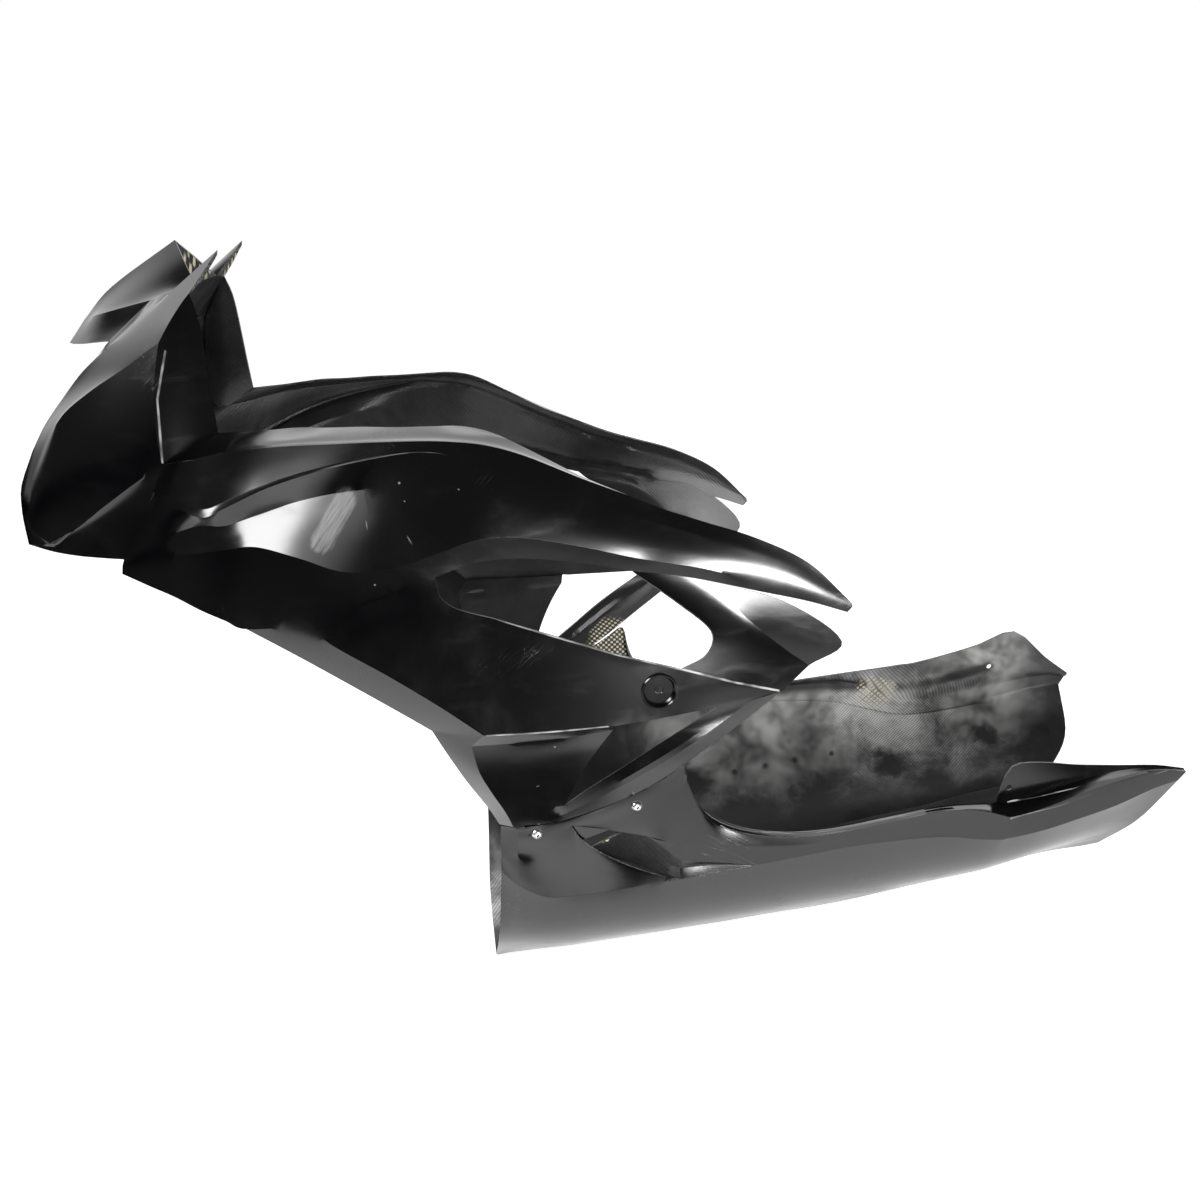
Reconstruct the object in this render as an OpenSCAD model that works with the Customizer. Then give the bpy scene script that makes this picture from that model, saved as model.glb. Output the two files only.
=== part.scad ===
/* [Overall size] */
// Length from nose lobe to pan tail, mm
overall_length = 1200; // [1000:1400]
// Width across the middle panels, mm
overall_width = 510; // [440:600]
// Height from pan bottom to horn tips, mm
overall_height = 770; // [650:900]

/* [Laminate] */
// Thickness of the moulded skins, mm
wall = 2.5; // [2:0.1:3.5]
// Clear gap where the two skins overlap, mm
lap_gap = 0.4; // [0.3:0.1:1]
// Height of the hidden lap flange below the seam, mm
lap_height = 30; // [24:40]
// Gap left along the seam between the skins, mm
seam_gap = 1; // [0.5:0.1:3]

/* [Nose] */
// Rise of the beak crown above its design line, mm
beak_rise = 0; // [-10:20]
// Extra height of the horns beside the screen opening, mm
horn_rise = 0; // [-15:20]

/* [Side mount] */
// Diameter of the round recess in the middle panel, mm
recess_diameter = 30; // [24:36]
// Depth of the round recess, mm
recess_depth = 7; // [4:12]
// Diameter of the side mounting hole, mm
side_hole_diameter = 8; // [6:0.1:9]

/* [Pan] */
// Drop of the left side cut-out below its design line, mm
cutout_drop = 0; // [-10:20]
// Diameter of the holes in the tail tabs, mm
tab_hole_diameter = 6.5; // [5:0.1:8]
// How far the scoop's lip stands out from the pan's wall, mm
lip_reach = 3; // [2:0.5:5]
// Depth of the scoop's ramp behind the wall at its inner end, mm
ramp_depth = 14; // [12:0.5:20]

/* [Joint screws] */
// Diameter of the screw shanks, mm
screw_diameter = 6; // [5:8]
// Diameter of the button heads, mm
head_diameter = 10.5; // [9:0.1:14]
// Height of the button heads, mm
head_height = 3.3; // [2.5:0.1:4.5]
// Length of the screw shanks, mm
screw_length = 16; // [14:25]
// Width across flats of the socket in the heads, mm
socket_width = 4; // [3:0.1:5]
// Clearance of the screw holes over the shanks, mm
screw_clearance = 0.6; // [0.3:0.1:1]
// Outer diameter of the washers, mm
washer_diameter = 12; // [11:18]
// Thickness of the washers, mm
washer_thickness = 1.6; // [1:0.1:2.5]
// Width across flats of the nuts, mm
nut_width = 10; // [8:13]
// Height of the nuts, mm
nut_height = 5; // [4:0.1:8]

/* [Hidden] */
$fn = 48;
design_size = [1200, 510, 770];
fit = [overall_length / design_size.x, overall_width / design_size.y, overall_height / design_size.z];
smooth = 2;
lobe_reach = 3;
lap_lean = 2;
skin_colour = [0.05, 0.05, 0.055];
steel_colour = [0.75, 0.75, 0.77];
seat_margin = 1;
scoop_tip = 3;
lip_end = 8;
groove_start = 9;
groove_end = 13;
ridge_end = 15;
front_joint = sized([481, 200, 206]);
rear_joint = sized([579, 211.7, 236]);
side_mount = sized([594, 251, 371]);
tab_hole_left = sized([998, 140, 198]);
tab_hole_right = sized([1092, 144, 228]);
screw_hole = screw_diameter + screw_clearance;
stack = 2 * wall + lap_gap;

function sized(p) = [(p.x + lobe_reach) * fit.x, p.y * fit.y, p.z * fit.z];
function mix(a, b, t) = a + (b - a) * t;
function flip(list) = [for (i = [len(list) - 1:-1:0]) list[i]];
function tail(list) = [for (i = [1:1:len(list) - 1]) list[i]];
function part_of(list, from, to) = [for (i = [from:to]) list[i]];
function straight(a, b, n) = [for (i = [0:n]) mix(a, b, i / n)];
function total(list, upto) = upto < 0 ? 0 : list[upto] + total(list, upto - 1);
function sum_of(list, i = 0) = i >= len(list) ? [0, 0, 0] : list[i] + sum_of(list, i + 1);
function across(p) = [p.x, -p.y, p.z];

// A smooth curve through the given points, with k steps between each pair.
function curve(p, k = smooth) = let (n = len(p) - 1) concat(
    [for (i = [0:n - 1], j = [0:k - 1]) let (
        t = j / k,
        a = i > 0 ? p[i - 1] : 2 * p[0] - p[1],
        d = i < n - 1 ? p[i + 2] : 2 * p[n] - p[n - 1],
        b = p[i],
        c = p[i + 1])
        b + ((c - a) * t + (2 * a - 5 * b + 4 * c - d) * t * t + (3 * b - a - 3 * c + d) * t * t * t) / 2],
    [p[n]]);

// A surface patch spanning four edge curves that share their corners.
function span(first, last, left, right) = let (n = len(first) - 1, m = len(left) - 1)
    [for (j = [0:m]) [for (i = [0:n]) let (s = i / n, t = j / m)
        mix(first[i], last[i], t) + mix(left[j], right[j], s)
        - mix(mix(first[0], first[n], s), mix(last[0], last[n], s), t)]];

// A surface patch through rows of points, curved from row to row.
function rows(list, k = smooth) = let (
    n = len(list[0]) - 1,
    columns = [for (i = [0:n]) curve([for (row = list) row[i]], k)])
    [for (j = [0:len(columns[0]) - 1]) [for (i = [0:n]) columns[i][j]]];

function mirrored(grid) = [for (row = grid) [for (i = [len(row) - 1:-1:0]) across(row[i])]];

// Welds surface patches into one closed skin of the given thickness.
module skin(patches) {
    grids = [for (g = patches) [for (row = g) [for (p = row) sized(p)]]];
    points = [for (g = grids, row = g, p = row) p];
    sizes = [for (g = grids) len(g) * len(g[0])];
    keys = [for (p = points) str(round(p.x * 10 + 0.23), " ", round(p.y * 10 + 0.23), " ", round(p.z * 10 + 0.23))];
    root = search(keys, [for (k = keys) [k]], 1, 0);
    cells = [for (k = [0:len(grids) - 1]) let (n = len(grids[k][0]), m = len(grids[k]), s = total(sizes, k - 1))
        for (j = [0:m - 2], i = [0:n - 2]) let (a = s + j * n + i, b = a + 1, c = b + n, d = a + n)
            each [[root[a], root[b], root[c]], [root[a], root[c], root[d]]]];
    faces = [for (f = cells) if (f[0] != f[1] && f[1] != f[2] && f[2] != f[0]) f];
    normals = [for (f = faces) cross(points[f[1]] - points[f[0]], points[f[2]] - points[f[0]])];
    all = [for (i = [0:len(points) - 1]) i];
    touching = [for (c = [0:2]) search(all, faces, 0, c)];
    inner = [for (i = all) let (
        n = root[i] == i ? sum_of([for (c = [0:2], f = touching[c][i]) normals[f]]) : [0, 0, 1])
        points[i] - wall * n / norm(n)];
    step = len(points);
    edges = [for (f = faces, c = [0:2]) [f[c], f[(c + 1) % 3]]];
    ahead = [for (e = edges) [e[0] * step + e[1]]];
    back = search([for (e = edges) e[1] * step + e[0]], ahead, 1, 0);
    open = [for (i = [0:len(edges) - 1]) if (!is_num(back[i])) edges[i]];
    polyhedron(
        points = concat(points, inner),
        faces = concat(
            [for (f = faces) flip(f)],
            [for (f = faces) [f[0] + step, f[1] + step, f[2] + step]],
            [for (e = open) each [[e[0], e[1], e[1] + step], [e[0], e[1] + step, e[0] + step]]]),
        convexity = 12);
}

// Both sides of the skin, from patches drawn for the right side.
function both_sides(patches) = concat(patches, [for (g = patches) mirrored(g)]);

function nose_patches() = let (
    crown = [0, 0, beak_rise],
    horn = [203, 90, 765 + horn_rise],
    beak_low = curve([[40, 0, 672], [55, 20, 674], [70, 38, 677], [92, 60, 681]]),
    beak_crease = curve([[57, 0, 695], [75, 24, 701], [98, 44, 708], [134, 65, 718]]),
    beak_centre = curve([[57, 0, 695], [86, 0, 726] + crown / 2, [150, 0, 770] + crown]),
    beak_trail = curve([[150, 0, 770] + crown, [162, 33, 753] + crown, [171, 53, 740], [178, 65, 731]]),
    beak_side = curve([[134, 65, 718], [156, 67, 726], [178, 65, 731]]),
    beak_end = straight([92, 60, 681], [134, 65, 718], 2),
    ridge_low = curve([[13, 75, 579], [28, 78, 604], [47, 82, 628], [70, 85, 655], [98, 88, 679]]),
    ridge_high = curve([[98, 88, 679], [128, 90, 703], [168, 90, 736], horn]),
    lobe_top = curve([[26, 90, 579], [50, 105, 615], [81, 118, 640], [117, 130, 663], [152, 143, 687]]),
    wall_top = curve([[152, 143, 687], [162, 133, 705], [171, 122, 719], [178, 117, 728]]),
    lobe_front = curve([[26, 90, 579], [12, 90, 548], [6, 92, 523], [12, 97, 504], [31, 105, 491]], 1),
    lobe_edge = curve([[13, 75, 579], [-1, 76, 546], [-3, 78, 525], [-2, 80, 508], [1, 84, 489]], 1),
    lobe_rear = curve([[152, 143, 687], [147, 150, 658], [145, 157, 630], [146, 160, 604], [149, 162, 580]], 1),
    lobe_ridge = curve([[31, 105, 491], [60, 122, 515], [95, 140, 542], [125, 153, 564], [149, 162, 580]]),
    lobe_low = curve([[1, 84, 489], [27, 99, 485], [53, 114, 484], [77, 128, 485], [101, 140, 486]]),
    wall_rear = curve([[178, 117, 728], [185, 122, 708], [189, 127, 680], [193, 134, 640], [197, 140, 604]], 1),
    corner = curve([[149, 162, 580], [160, 155, 582], [177, 147, 592], [197, 140, 604]]),
    cheek_end = rows([for (r = cheek_rows()) [r[0]]]),
    front_foot = straight([31, 105, 491], [1, 84, 489], 4),
    duct_outer = concat(flip(ridge_low), tail(lobe_edge)),
    duct_inner = concat(
        curve([[92, 60, 681], [78, 61, 664], [66, 61, 640], [58, 62, 615], [52, 62, 590]]),
        [[47, 62, 562], [44, 62, 538], [41, 62, 515], [40, 62, 495]]),
    valley_front = straight([98, 88, 679], [92, 60, 681], 2),
    duct_foot = straight([1, 84, 489], [40, 62, 495], 2))
    [
        span(beak_crease, beak_low, straight([57, 0, 695], [40, 0, 672], 2), flip(beak_end)),
        span(beak_trail, beak_crease, flip(beak_centre), flip(beak_side)),
        span(concat(beak_end, tail(beak_side)), ridge_high, flip(valley_front), straight([178, 65, 731], horn, 2)),
        span(concat(ridge_low, tail(ridge_high)), concat(lobe_top, tail(wall_top)),
            straight([13, 75, 579], [26, 90, 579], 4), straight(horn, [178, 117, 728], 4)),
        span(lobe_top, lobe_ridge, lobe_front, lobe_rear),
        span(straight([13, 75, 579], [26, 90, 579], 4), flip(front_foot), lobe_edge, lobe_front),
        span(lobe_ridge, lobe_low, front_foot, [for (row = cheek_end) row[0]]),
        span(wall_top, corner, lobe_rear, wall_rear),
        span(duct_outer, duct_inner, valley_front, duct_foot),
        span(straight([20, 0, 480], [50, 0, 490], 2), duct_foot,
            straight([20, 0, 480], [1, 84, 489], 4), straight([50, 0, 490], [40, 62, 495], 4))
    ];

// Side rows from the shelf crease down to the panel's lower edge, as points at matching stations.
function shelf_outer() = [[149, 162, 580], [165, 168, 583], [182, 174, 587], [205, 181, 593], [232, 187, 597],
    [262, 194, 600], [298, 200, 602], [338, 206, 604], [380, 210, 605], [410, 212, 604], [440, 212, 600],
    [475, 209, 589], [526, 203, 566], [570, 200, 548], [605, 204, 534], [640, 209, 523], [690, 216, 507],
    [740, 218, 482], [782, 220, 443]];
function brow_row() = [[137, 155, 552], [152, 166, 546], [166, 178, 540], [185, 190, 536], [208, 198, 547],
    [245, 206, 565], [290, 212, 580], [335, 214, 590], [378, 216, 596], [410, 219, 593], [440, 222, 587],
    [477, 220, 573], [528, 215, 550], [571, 213, 533], [606, 215, 521], [641, 217, 510], [691, 220, 495],
    [740, 220, 472], [784, 220, 441]];
function channel_row() = [[101, 140, 486], [130, 158, 505], [156, 171, 518], [180, 179, 526], [203, 186, 527],
    [235, 192, 538], [275, 200, 552], [322, 212, 562], [370, 226, 566], [405, 232, 563], [437, 236, 558],
    [475, 232, 545], [528, 225, 524], [571, 221, 511], [606, 221, 501], [641, 222, 493], [691, 223, 479],
    [740, 222, 462], [785, 220, 438]];
function swell_row() = [[99, 140, 480], [127, 160, 490], [152, 174, 498], [176, 184, 501], [203, 192, 506],
    [232, 208, 512], [272, 227, 505], [312, 241, 495], [360, 247, 500], [393, 247, 511], [432, 244, 522],
    [472, 237, 520], [527, 228, 507], [570, 223, 495], [605, 223, 488], [640, 223, 481], [690, 223, 467],
    [740, 222, 453], [783, 220, 435]];
function panel_foot() = [[98, 140, 472], [126, 158, 464], [150, 172, 457], [174, 184, 447], [197, 194, 439],
    [217, 203, 433], [268, 228, 444], [314, 238, 463], [359, 244, 479], [390, 246, 489], [429, 241, 500],
    [471, 233, 500], [527, 225, 491], [571, 220, 481], [606, 220, 476], [641, 220, 469], [691, 221, 457],
    [740, 221, 445], [780, 220, 432]];
function shelf_inner() = [[197, 140, 604], [213, 144, 605], [230, 148, 606], [250, 152, 608], [272, 156, 610],
    [298, 160, 610], [328, 165, 611], [360, 171, 611], [393, 176, 612], [420, 179, 612], [447, 182, 606],
    [480, 184, 590], [526, 190, 566], [570, 200, 548]];
function cheek_rows() = [shelf_outer(), brow_row(), channel_row()];

function side_patches() = let (
    top = curve(shelf_outer()),
    brow = curve(brow_row()),
    channel = curve(channel_row()),
    swell = curve(swell_row()),
    foot = curve(panel_foot()),
    inner = curve(shelf_inner()),
    corner = curve([[149, 162, 580], [160, 155, 582], [177, 147, 592], [197, 140, 604]]))
    [
        span(inner, part_of(top, 0, 26), flip(corner), [for (i = [0:6]) top[26]]),
        rows([top, brow, channel]),
        rows([channel, swell], 1),
        rows([swell, foot], 1)
    ];

// The middle panel, the front leg, the diagonal strut and the rear leg with its fin.
function lower_patches() = let (
    foot = curve(panel_foot()),
    tip = [719, 222, 355],
    knee = [429, 255, 338],
    knee_in = [418, 241, 322],
    heel = [382, 226, 333],
    lap_top = [553, 252, 340],
    lap_in = [551, 243, 332],
    strut_root = [508, 209, 240],
    strut_head = [655, 234, 347],
    panel_crease = curve([foot[12], [300, 240, 424], [345, 249, 398], [390, 254, 368], knee]),
    panel_front = curve([foot[10], [264, 215, 408], [309, 222, 381], [353, 226, 353], heel]),
    crease_foot = straight(knee, heel, 2),
    window_front = curve([foot[18], [394, 248, 472], [404, 249, 462], [420, 251, 456], [441, 252, 450]]),
    panel_cross = straight(knee, [441, 252, 450], 6),
    panel_top = curve([[441, 252, 450], [497, 254, 431], [555, 252, 410], [616, 243, 390], [668, 234, 371], tip]),
    panel_low = concat(curve([knee, [490, 255, 338], lap_top]), tail(curve([lap_top, [600, 245, 343], strut_head])),
        [[688, 229, 350], tip]),
    panel_low_cut = [for (i = [0:8]) panel_low[i], panel_low[9], tip],
    leg_top = curve([knee_in, [484, 245, 325], lap_in]),
    leg_front = curve([heel, [395, 218, 306], [413, 205, 270], [433, 190, 234], [445, 182, 210]]),
    leg_crease = curve([knee_in, [425, 230, 290], [437, 219, 262], [450, 207, 235], [458, 198, 214]]),
    leg_rear = concat(curve([lap_in, [537, 237, 310], [522, 226, 280], strut_root]), [[505, 208, 229], [502, 203, 219]]),
    leg_foot = curve([[458, 198, 214], [480, 200, 216], [502, 203, 219]]),
    step_end = straight(knee, knee_in, 2),
    strut_top = curve([strut_root, [530, 214, 258], [562, 221, 282], [602, 229, 312], strut_head]),
    strut_mid = curve([[505, 208, 229], [533, 215, 245], [575, 225, 272], [625, 234, 307], [688, 229, 350]]),
    strut_low = curve([[502, 203, 219], [540, 208, 233], [590, 214, 257], [650, 221, 301], tip]),
    leg_inner = curve([foot[26], [616, 228, 449], [646, 231, 422], [641, 236, 401], [616, 243, 390]]),
    fin_crease = curve([foot[30], [679, 225, 433], [714, 223, 402], [746, 218, 378]]),
    fin_edge = curve([foot[30], [718, 220, 445], [776, 216, 403], [746, 218, 378]]),
    flange_seam = concat(tail(leg_foot), tail(part_of(strut_low, 0, 4))),
    lap = wall + lap_gap,
    joggle = [for (p = flange_seam) p - [0, lap + lap_lean / 4, 0]],
    flange_low = [for (p = flange_seam) p - [0, lap + lap_lean, lap_height]])
    [
        span(panel_crease, panel_front, [foot[12], foot[11], foot[10]], crease_foot),
        span(part_of(foot, 12, 18), panel_cross, panel_crease, window_front),
        span(panel_top, panel_low_cut, flip(panel_cross), [for (i = [0:6]) tip]),
        span(flip(crease_foot), straight(heel, knee_in, 2), [for (i = [0:2]) heel], step_end),
        span(part_of(panel_low, 0, 4), leg_top, step_end, straight(lap_top, lap_in, 2)),
        span(leg_top, leg_foot, leg_crease, leg_rear),
        span(straight(heel, knee_in, 2), straight([445, 182, 210], [458, 198, 214], 2), leg_front, leg_crease),
        rows([strut_top, strut_mid, strut_low], 1),
        span(part_of(foot, 26, 30), part_of(panel_top, 6, 10), leg_inner,
            concat(fin_crease, [mix(fin_crease[6], tip, 0.5), tip])),
        span(fin_edge, fin_crease, [for (i = [0:2]) foot[30]], [for (i = [0:2]) fin_crease[6]]),
        rows([flange_seam, joggle], 1),
        rows([joggle, flange_low], 1)
    ];

// Pan stations: along, half width and height at the rim, the same at the side crease, height of the bottom.
function pan_stations() = [
    [446, 182, 194, 187, 160, 0], [462, 198, 199, 193, 146, 2], [490, 201, 203, 199, 134, 4],
    [515, 204, 216, 203, 136, 5], [540, 207, 218, 206, 139, 7], [558, 209, 226, 207, 142, 8.8],
    [575, 211, 234, 208, 144, 10.5], [592, 213, 243, 209, 147, 12.2], [608, 215, 252, 210, 149, 13.8],
    [626, 214, 262, 210, 151, 15.6], [632, 213, 254, 210, 152, 16.2], [642, 208, 230, 210, 153, 17.2],
    [664, 204, 209, 209, 156, 19.4], [700, 201, 194, 208, 160, 23], [750, 199, 187, 206, 166, 29],
    [800, 197, 189, 202, 171, 34], [850, 193, 194, 197, 172, 41], [905, 187, 199, 190, 170, 51],
    [950, 179, 193, 182, 160, 59], [978, 174, 182, 177, 155, 64], [986, 173, 180, 175, 155, 65],
    [1000, 171, 180, 172, 155, 68], [1034, 167, 186, 168, 159, 74], [1074, 162, 195, 163, 167, 81],
    [1120, 156, 205, 157, 177, 87], [1164, 151, 213, 151, 191, 90], [1197, 148, 208, 147, 198, 93]];
// Inner rim of the pan at each station: half width and height of its base, then of its free edge.
function left_rim() = [
    [182, 200, 182, 207], [198, 206, 198, 212], [201, 209, 201, 216], [204, 219, 204, 222], [208, 225, 208, 232],
    [210, 233, 210, 240], [212, 241, 212, 248], [214, 250, 214, 257], [216, 259, 216, 267], [215, 270, 215, 278],
    [207, 253, 201, 252], [202, 230, 196, 229], [198, 210, 192, 209], [195, 196, 189, 195], [193, 189, 187, 188],
    [191, 191, 185, 190], [187, 196, 181, 195], [181, 201, 175, 200], [169, 194, 163, 194], [156, 184, 149, 186],
    [142, 181, 141, 190], [141, 181, 140, 222], [140, 187, 138, 224], [140, 200, 138, 219], [142, 211, 140, 217],
    [145, 214, 143, 216], [144, 209, 142, 210]];
function right_rim() = [
    [182, 200, 182, 207], [198, 206, 198, 212], [201, 209, 201, 216], [204, 219, 204, 222], [208, 225, 208, 232],
    [210, 233, 210, 240], [212, 241, 212, 248], [214, 250, 214, 257], [216, 259, 216, 267], [215, 270, 215, 278],
    [207, 253, 201, 252], [202, 230, 196, 229], [198, 210, 192, 209], [195, 196, 189, 196], [193, 190, 187, 192],
    [191, 194, 185, 198], [187, 200, 181, 206], [181, 206, 175, 215], [171, 205, 165, 224], [164, 200, 157, 231],
    [160, 199, 154, 233], [156, 199, 151, 237], [150, 204, 147, 247], [146, 210, 143, 260], [145, 214, 142, 276],
    [145, 216, 142, 240], [144, 211, 142, 216]];
function low_cut(x) = cutout_drop * max(0, 1 - abs(x - 760) / 130);
// Rows of one side of the pan, from the free edge round to the keel.
function pan_rows(rim, drop) = let (s = pan_stations(), last = len(s) - 1) [
    [for (i = [0:last]) [s[i][0], rim[i][2], rim[i][3] - drop * low_cut(s[i][0])]],
    [for (i = [0:last]) [s[i][0], rim[i][0], rim[i][1] - drop * low_cut(s[i][0])]],
    [for (i = [0:last]) [s[i][0], s[i][1], s[i][2] - seam_gap - drop * low_cut(s[i][0])]],
    [for (i = [0:last]) [s[i][0] + pan_rake(i, 0.12), s[i][3], s[i][4]]],
    [for (i = [0:last]) [s[i][0] + pan_rake(i, 0.5), 0.8 * s[i][3], mix(s[i][5], s[i][4], 0.42)]],
    [for (i = [0:last]) [s[i][0] + pan_rake(i, 0.92), 85, s[i][5]]],
    [for (i = [0:last]) [s[i][0] + pan_rake(i, 1), 0, s[i][5]]]];
// The tail of the pan is cut back towards the bottom by up to this much.
function pan_rake(i, depth) = -62 * depth * max(0, (i - 21) / 5) - 4 * depth * max(0, 1 - i / 2);

function pan_side(rim, drop) = let (r = pan_rows(rim, drop)) concat(
    [rows([r[0], r[1]], 1), rows([r[1], r[2]], 1)], scooped_wall(r[2], r[3]),
    [rows([r[3], r[4], r[5]]), rows([r[5], r[6]], 2)]);

// The side wall, with the scoop's proud lip, its ramp, the groove behind it and the ridge above them.
function scooped_wall(rim, crease) = let (
    last = len(rim) - 1,
    out = function (t) [0, lip_reach * t, 0],
    tip = rim[scoop_tip],
    corner = [590, 211, 202],
    low = [626, 211, 172],
    lip = [tip, [523, 205, 201] + out(0.3), [539, 206, 188] + out(0.7), [558, 207, 177] + out(1),
        [582, 209, 166] + out(1), [610, 210, 156] + out(1)],
    upper = [tip, [540, 207, 212], [566, 209, 207], corner],
    ridge = [corner, [606, 213, 198], [622, 212, 195], [640, 211, 191], [658, 210, 188], [678, 208, 185],
        [700, 206, 182], [728, 204, 179], [760, 202, 178], (rim[ridge_end] + crease[ridge_end]) / 2],
    rear = [corner, [603, 212, 192], [615, 212, 181], low],
    groove_top = [low, [642, 210, 170], [662, 209, 167], [682, 208, 164], crease[groove_end]],
    groove = [[625, 206, 161], [640, 206, 162], [660, 206, 162], [681, 207, 161], crease[groove_end]],
    groove_foot = part_of(crease, groove_start, groove_end),
    ramp_foot = [[536, 211 - ramp_depth, 186], [556, 207 - ramp_depth, 172], [580, 205 - ramp_depth, 162],
        [606, 213 - ramp_depth, 154], crease[groove_start]])
    [
        span(concat(part_of(rim, 0, scoop_tip), tail(lip)), part_of(crease, 0, lip_end), straight(rim[0], crease[0], 4),
            straight(lip[5], crease[lip_end], 4)),
        span(part_of(rim, scoop_tip, ridge_end), concat(upper, tail(ridge)), [for (i = [0:2]) tip],
            straight(rim[ridge_end], ridge[9], 2)),
        span(ridge, concat(rear, tail(groove_top), tail(part_of(crease, groove_end, ridge_end))),
            [for (i = [0:2]) corner], straight(ridge[9], crease[ridge_end], 2)),
        rows([groove_top, groove, groove_foot], 1),
        span(concat([upper[2]], rear), ramp_foot, straight(upper[2], ramp_foot[0], 2),
            [low, groove[0], crease[groove_start]]),
        rows([part_of(rim, ridge_end, last), part_of(crease, ridge_end, last)], 4)
    ];

// A cylinder lying across the fairing, from the depth y0 out to y1 on the right side.
module cross_bore(at, diameter, y0, y1) {
    translate([at.x, y1, at.z]) rotate([90, 0, 0]) cylinder(d = diameter, h = y1 - y0);
}

// Repeats its children on the right and on the left.
module each_side() {
    children();
    mirror([0, 1, 0]) children();
}

module left() { mirror([0, 1, 0]) children(); }

module joint_holes() {
    each_side() for (at = [front_joint, rear_joint]) {
        cross_bore(at, screw_hole, at.y - stack - lap_height, at.y + lap_height);
        cross_bore(at, head_diameter + 2 * seat_margin, at.y, at.y + lap_height);
        cross_bore(at, washer_diameter + 2 * seat_margin, at.y - stack - lap_height, at.y - stack);
    }
}

module upper_fairing() {
    cup_floor = side_mount.y - recess_depth;
    color(skin_colour) difference() {
        union() {
            skin(both_sides(concat(nose_patches(), side_patches(), lower_patches())));
            each_side() cross_bore(side_mount, recess_diameter + 2 * wall, cup_floor - wall, side_mount.y - wall / 2);
        }
        each_side() {
            cross_bore(side_mount, recess_diameter, cup_floor, side_mount.y + recess_depth);
            cross_bore(side_mount, side_hole_diameter, cup_floor - 2 * wall, cup_floor + wall);
        }
        joint_holes();
    }
}

module belly_pan() {
    right = pan_side(right_rim(), 0);
    left = pan_side(left_rim(), 1);
    color(skin_colour) difference() {
        skin(concat(right, [for (g = left) mirrored(g)]));
        joint_holes();
        tab_bore(tab_hole_right);
        left() tab_bore(tab_hole_left);
    }
}

module tab_bore(at) {
    cross_bore(at, tab_hole_diameter, at.y - 4 * wall, at.y + 4 * wall);
}

// One joint's pieces, placed by the seat they bear on.
module joint_screw(at) {
    color(steel_colour) translate([at.x, at.y, at.z]) rotate([-90, 0, 0]) difference() {
        union() {
            cylinder(d1 = head_diameter, d2 = head_diameter * 0.62, h = head_height);
            translate([0, 0, -screw_length]) cylinder(d = screw_diameter, h = screw_length);
        }
        translate([0, 0, head_height * 0.35]) cylinder(d = socket_width / cos(30), h = head_height, $fn = 6);
    }
}

module joint_washer(at) {
    color(steel_colour) difference() {
        cross_bore(at, washer_diameter, at.y - stack - washer_thickness, at.y - stack);
        cross_bore(at, screw_hole, at.y - stack - 2 * washer_thickness, at.y);
    }
}

module joint_nut(at) {
    back = at.y - stack - washer_thickness;
    color(steel_colour) difference() {
        translate([at.x, back, at.z]) rotate([90, 0, 0]) cylinder(d = nut_width / cos(30), h = nut_height, $fn = 6);
        cross_bore(at, screw_diameter, back - 2 * nut_height, back + nut_height);
    }
}

translate([-overall_length / 2, 0, 0]) {
    upper_fairing();
    belly_pan();
    left() joint_screw(front_joint);  // joint_screw_left_front
    left() joint_screw(rear_joint);  // joint_screw_left_rear
    joint_screw(front_joint);  // joint_screw_right_front
    joint_screw(rear_joint);  // joint_screw_right_rear
    left() joint_washer(front_joint);  // joint_washer_left_front
    left() joint_washer(rear_joint);  // joint_washer_left_rear
    joint_washer(front_joint);  // joint_washer_right_front
    joint_washer(rear_joint);  // joint_washer_right_rear
    left() joint_nut(front_joint);  // joint_nut_left_front
    left() joint_nut(rear_joint);  // joint_nut_left_rear
    joint_nut(front_joint);  // joint_nut_right_front
    joint_nut(rear_joint);  // joint_nut_right_rear
}
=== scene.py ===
"""A racing motorcycle's fairing: an upper fairing and a belly pan of woven laminate under black gelcoat."""

import logging
import math
from dataclasses import dataclass
from enum import Enum
from typing import Any, Callable, Iterable, Optional, Sequence, Union

import bpy
from mathutils import Matrix, Vector


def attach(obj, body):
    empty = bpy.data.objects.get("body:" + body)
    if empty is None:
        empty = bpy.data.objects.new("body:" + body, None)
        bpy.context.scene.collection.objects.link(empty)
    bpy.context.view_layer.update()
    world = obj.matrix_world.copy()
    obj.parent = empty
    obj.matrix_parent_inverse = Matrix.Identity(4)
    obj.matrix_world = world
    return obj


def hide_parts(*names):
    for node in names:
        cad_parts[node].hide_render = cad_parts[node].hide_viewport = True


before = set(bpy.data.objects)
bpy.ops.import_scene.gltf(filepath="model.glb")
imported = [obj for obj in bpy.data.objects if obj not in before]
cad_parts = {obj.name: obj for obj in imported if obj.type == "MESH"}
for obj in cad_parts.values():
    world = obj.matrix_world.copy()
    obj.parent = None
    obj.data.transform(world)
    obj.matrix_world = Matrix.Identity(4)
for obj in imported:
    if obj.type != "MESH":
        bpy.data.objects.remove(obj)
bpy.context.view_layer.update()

log = logging.getLogger("fairing")

MM = 0.001
ROW_ORIGIN = 597.0  # the row frame's origin, in millimetres behind the nose
FINE = 3  # fine steps in each coarse step of a rail
WELD = 0.00012  # metres
# The rest are millimetres.
WALL = 2.5
LAP_GAP = 0.4
LAP_LEAN = 2.0
LAP_HEIGHT = 30.0

Rail = list[Vector]
Grid = list[Rail]
Triple = Sequence[float]
Materials = Sequence[bpy.types.Material]


class Side(Enum):
    """The two sides of the motorcycle, by the sign of their Y."""

    LEFT = -1
    RIGHT = 1


class Finish(Enum):
    """The places of the three finishes on each skin."""

    GELCOAT = 0
    CLOTH = 1
    TRIMMED = 2


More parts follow.
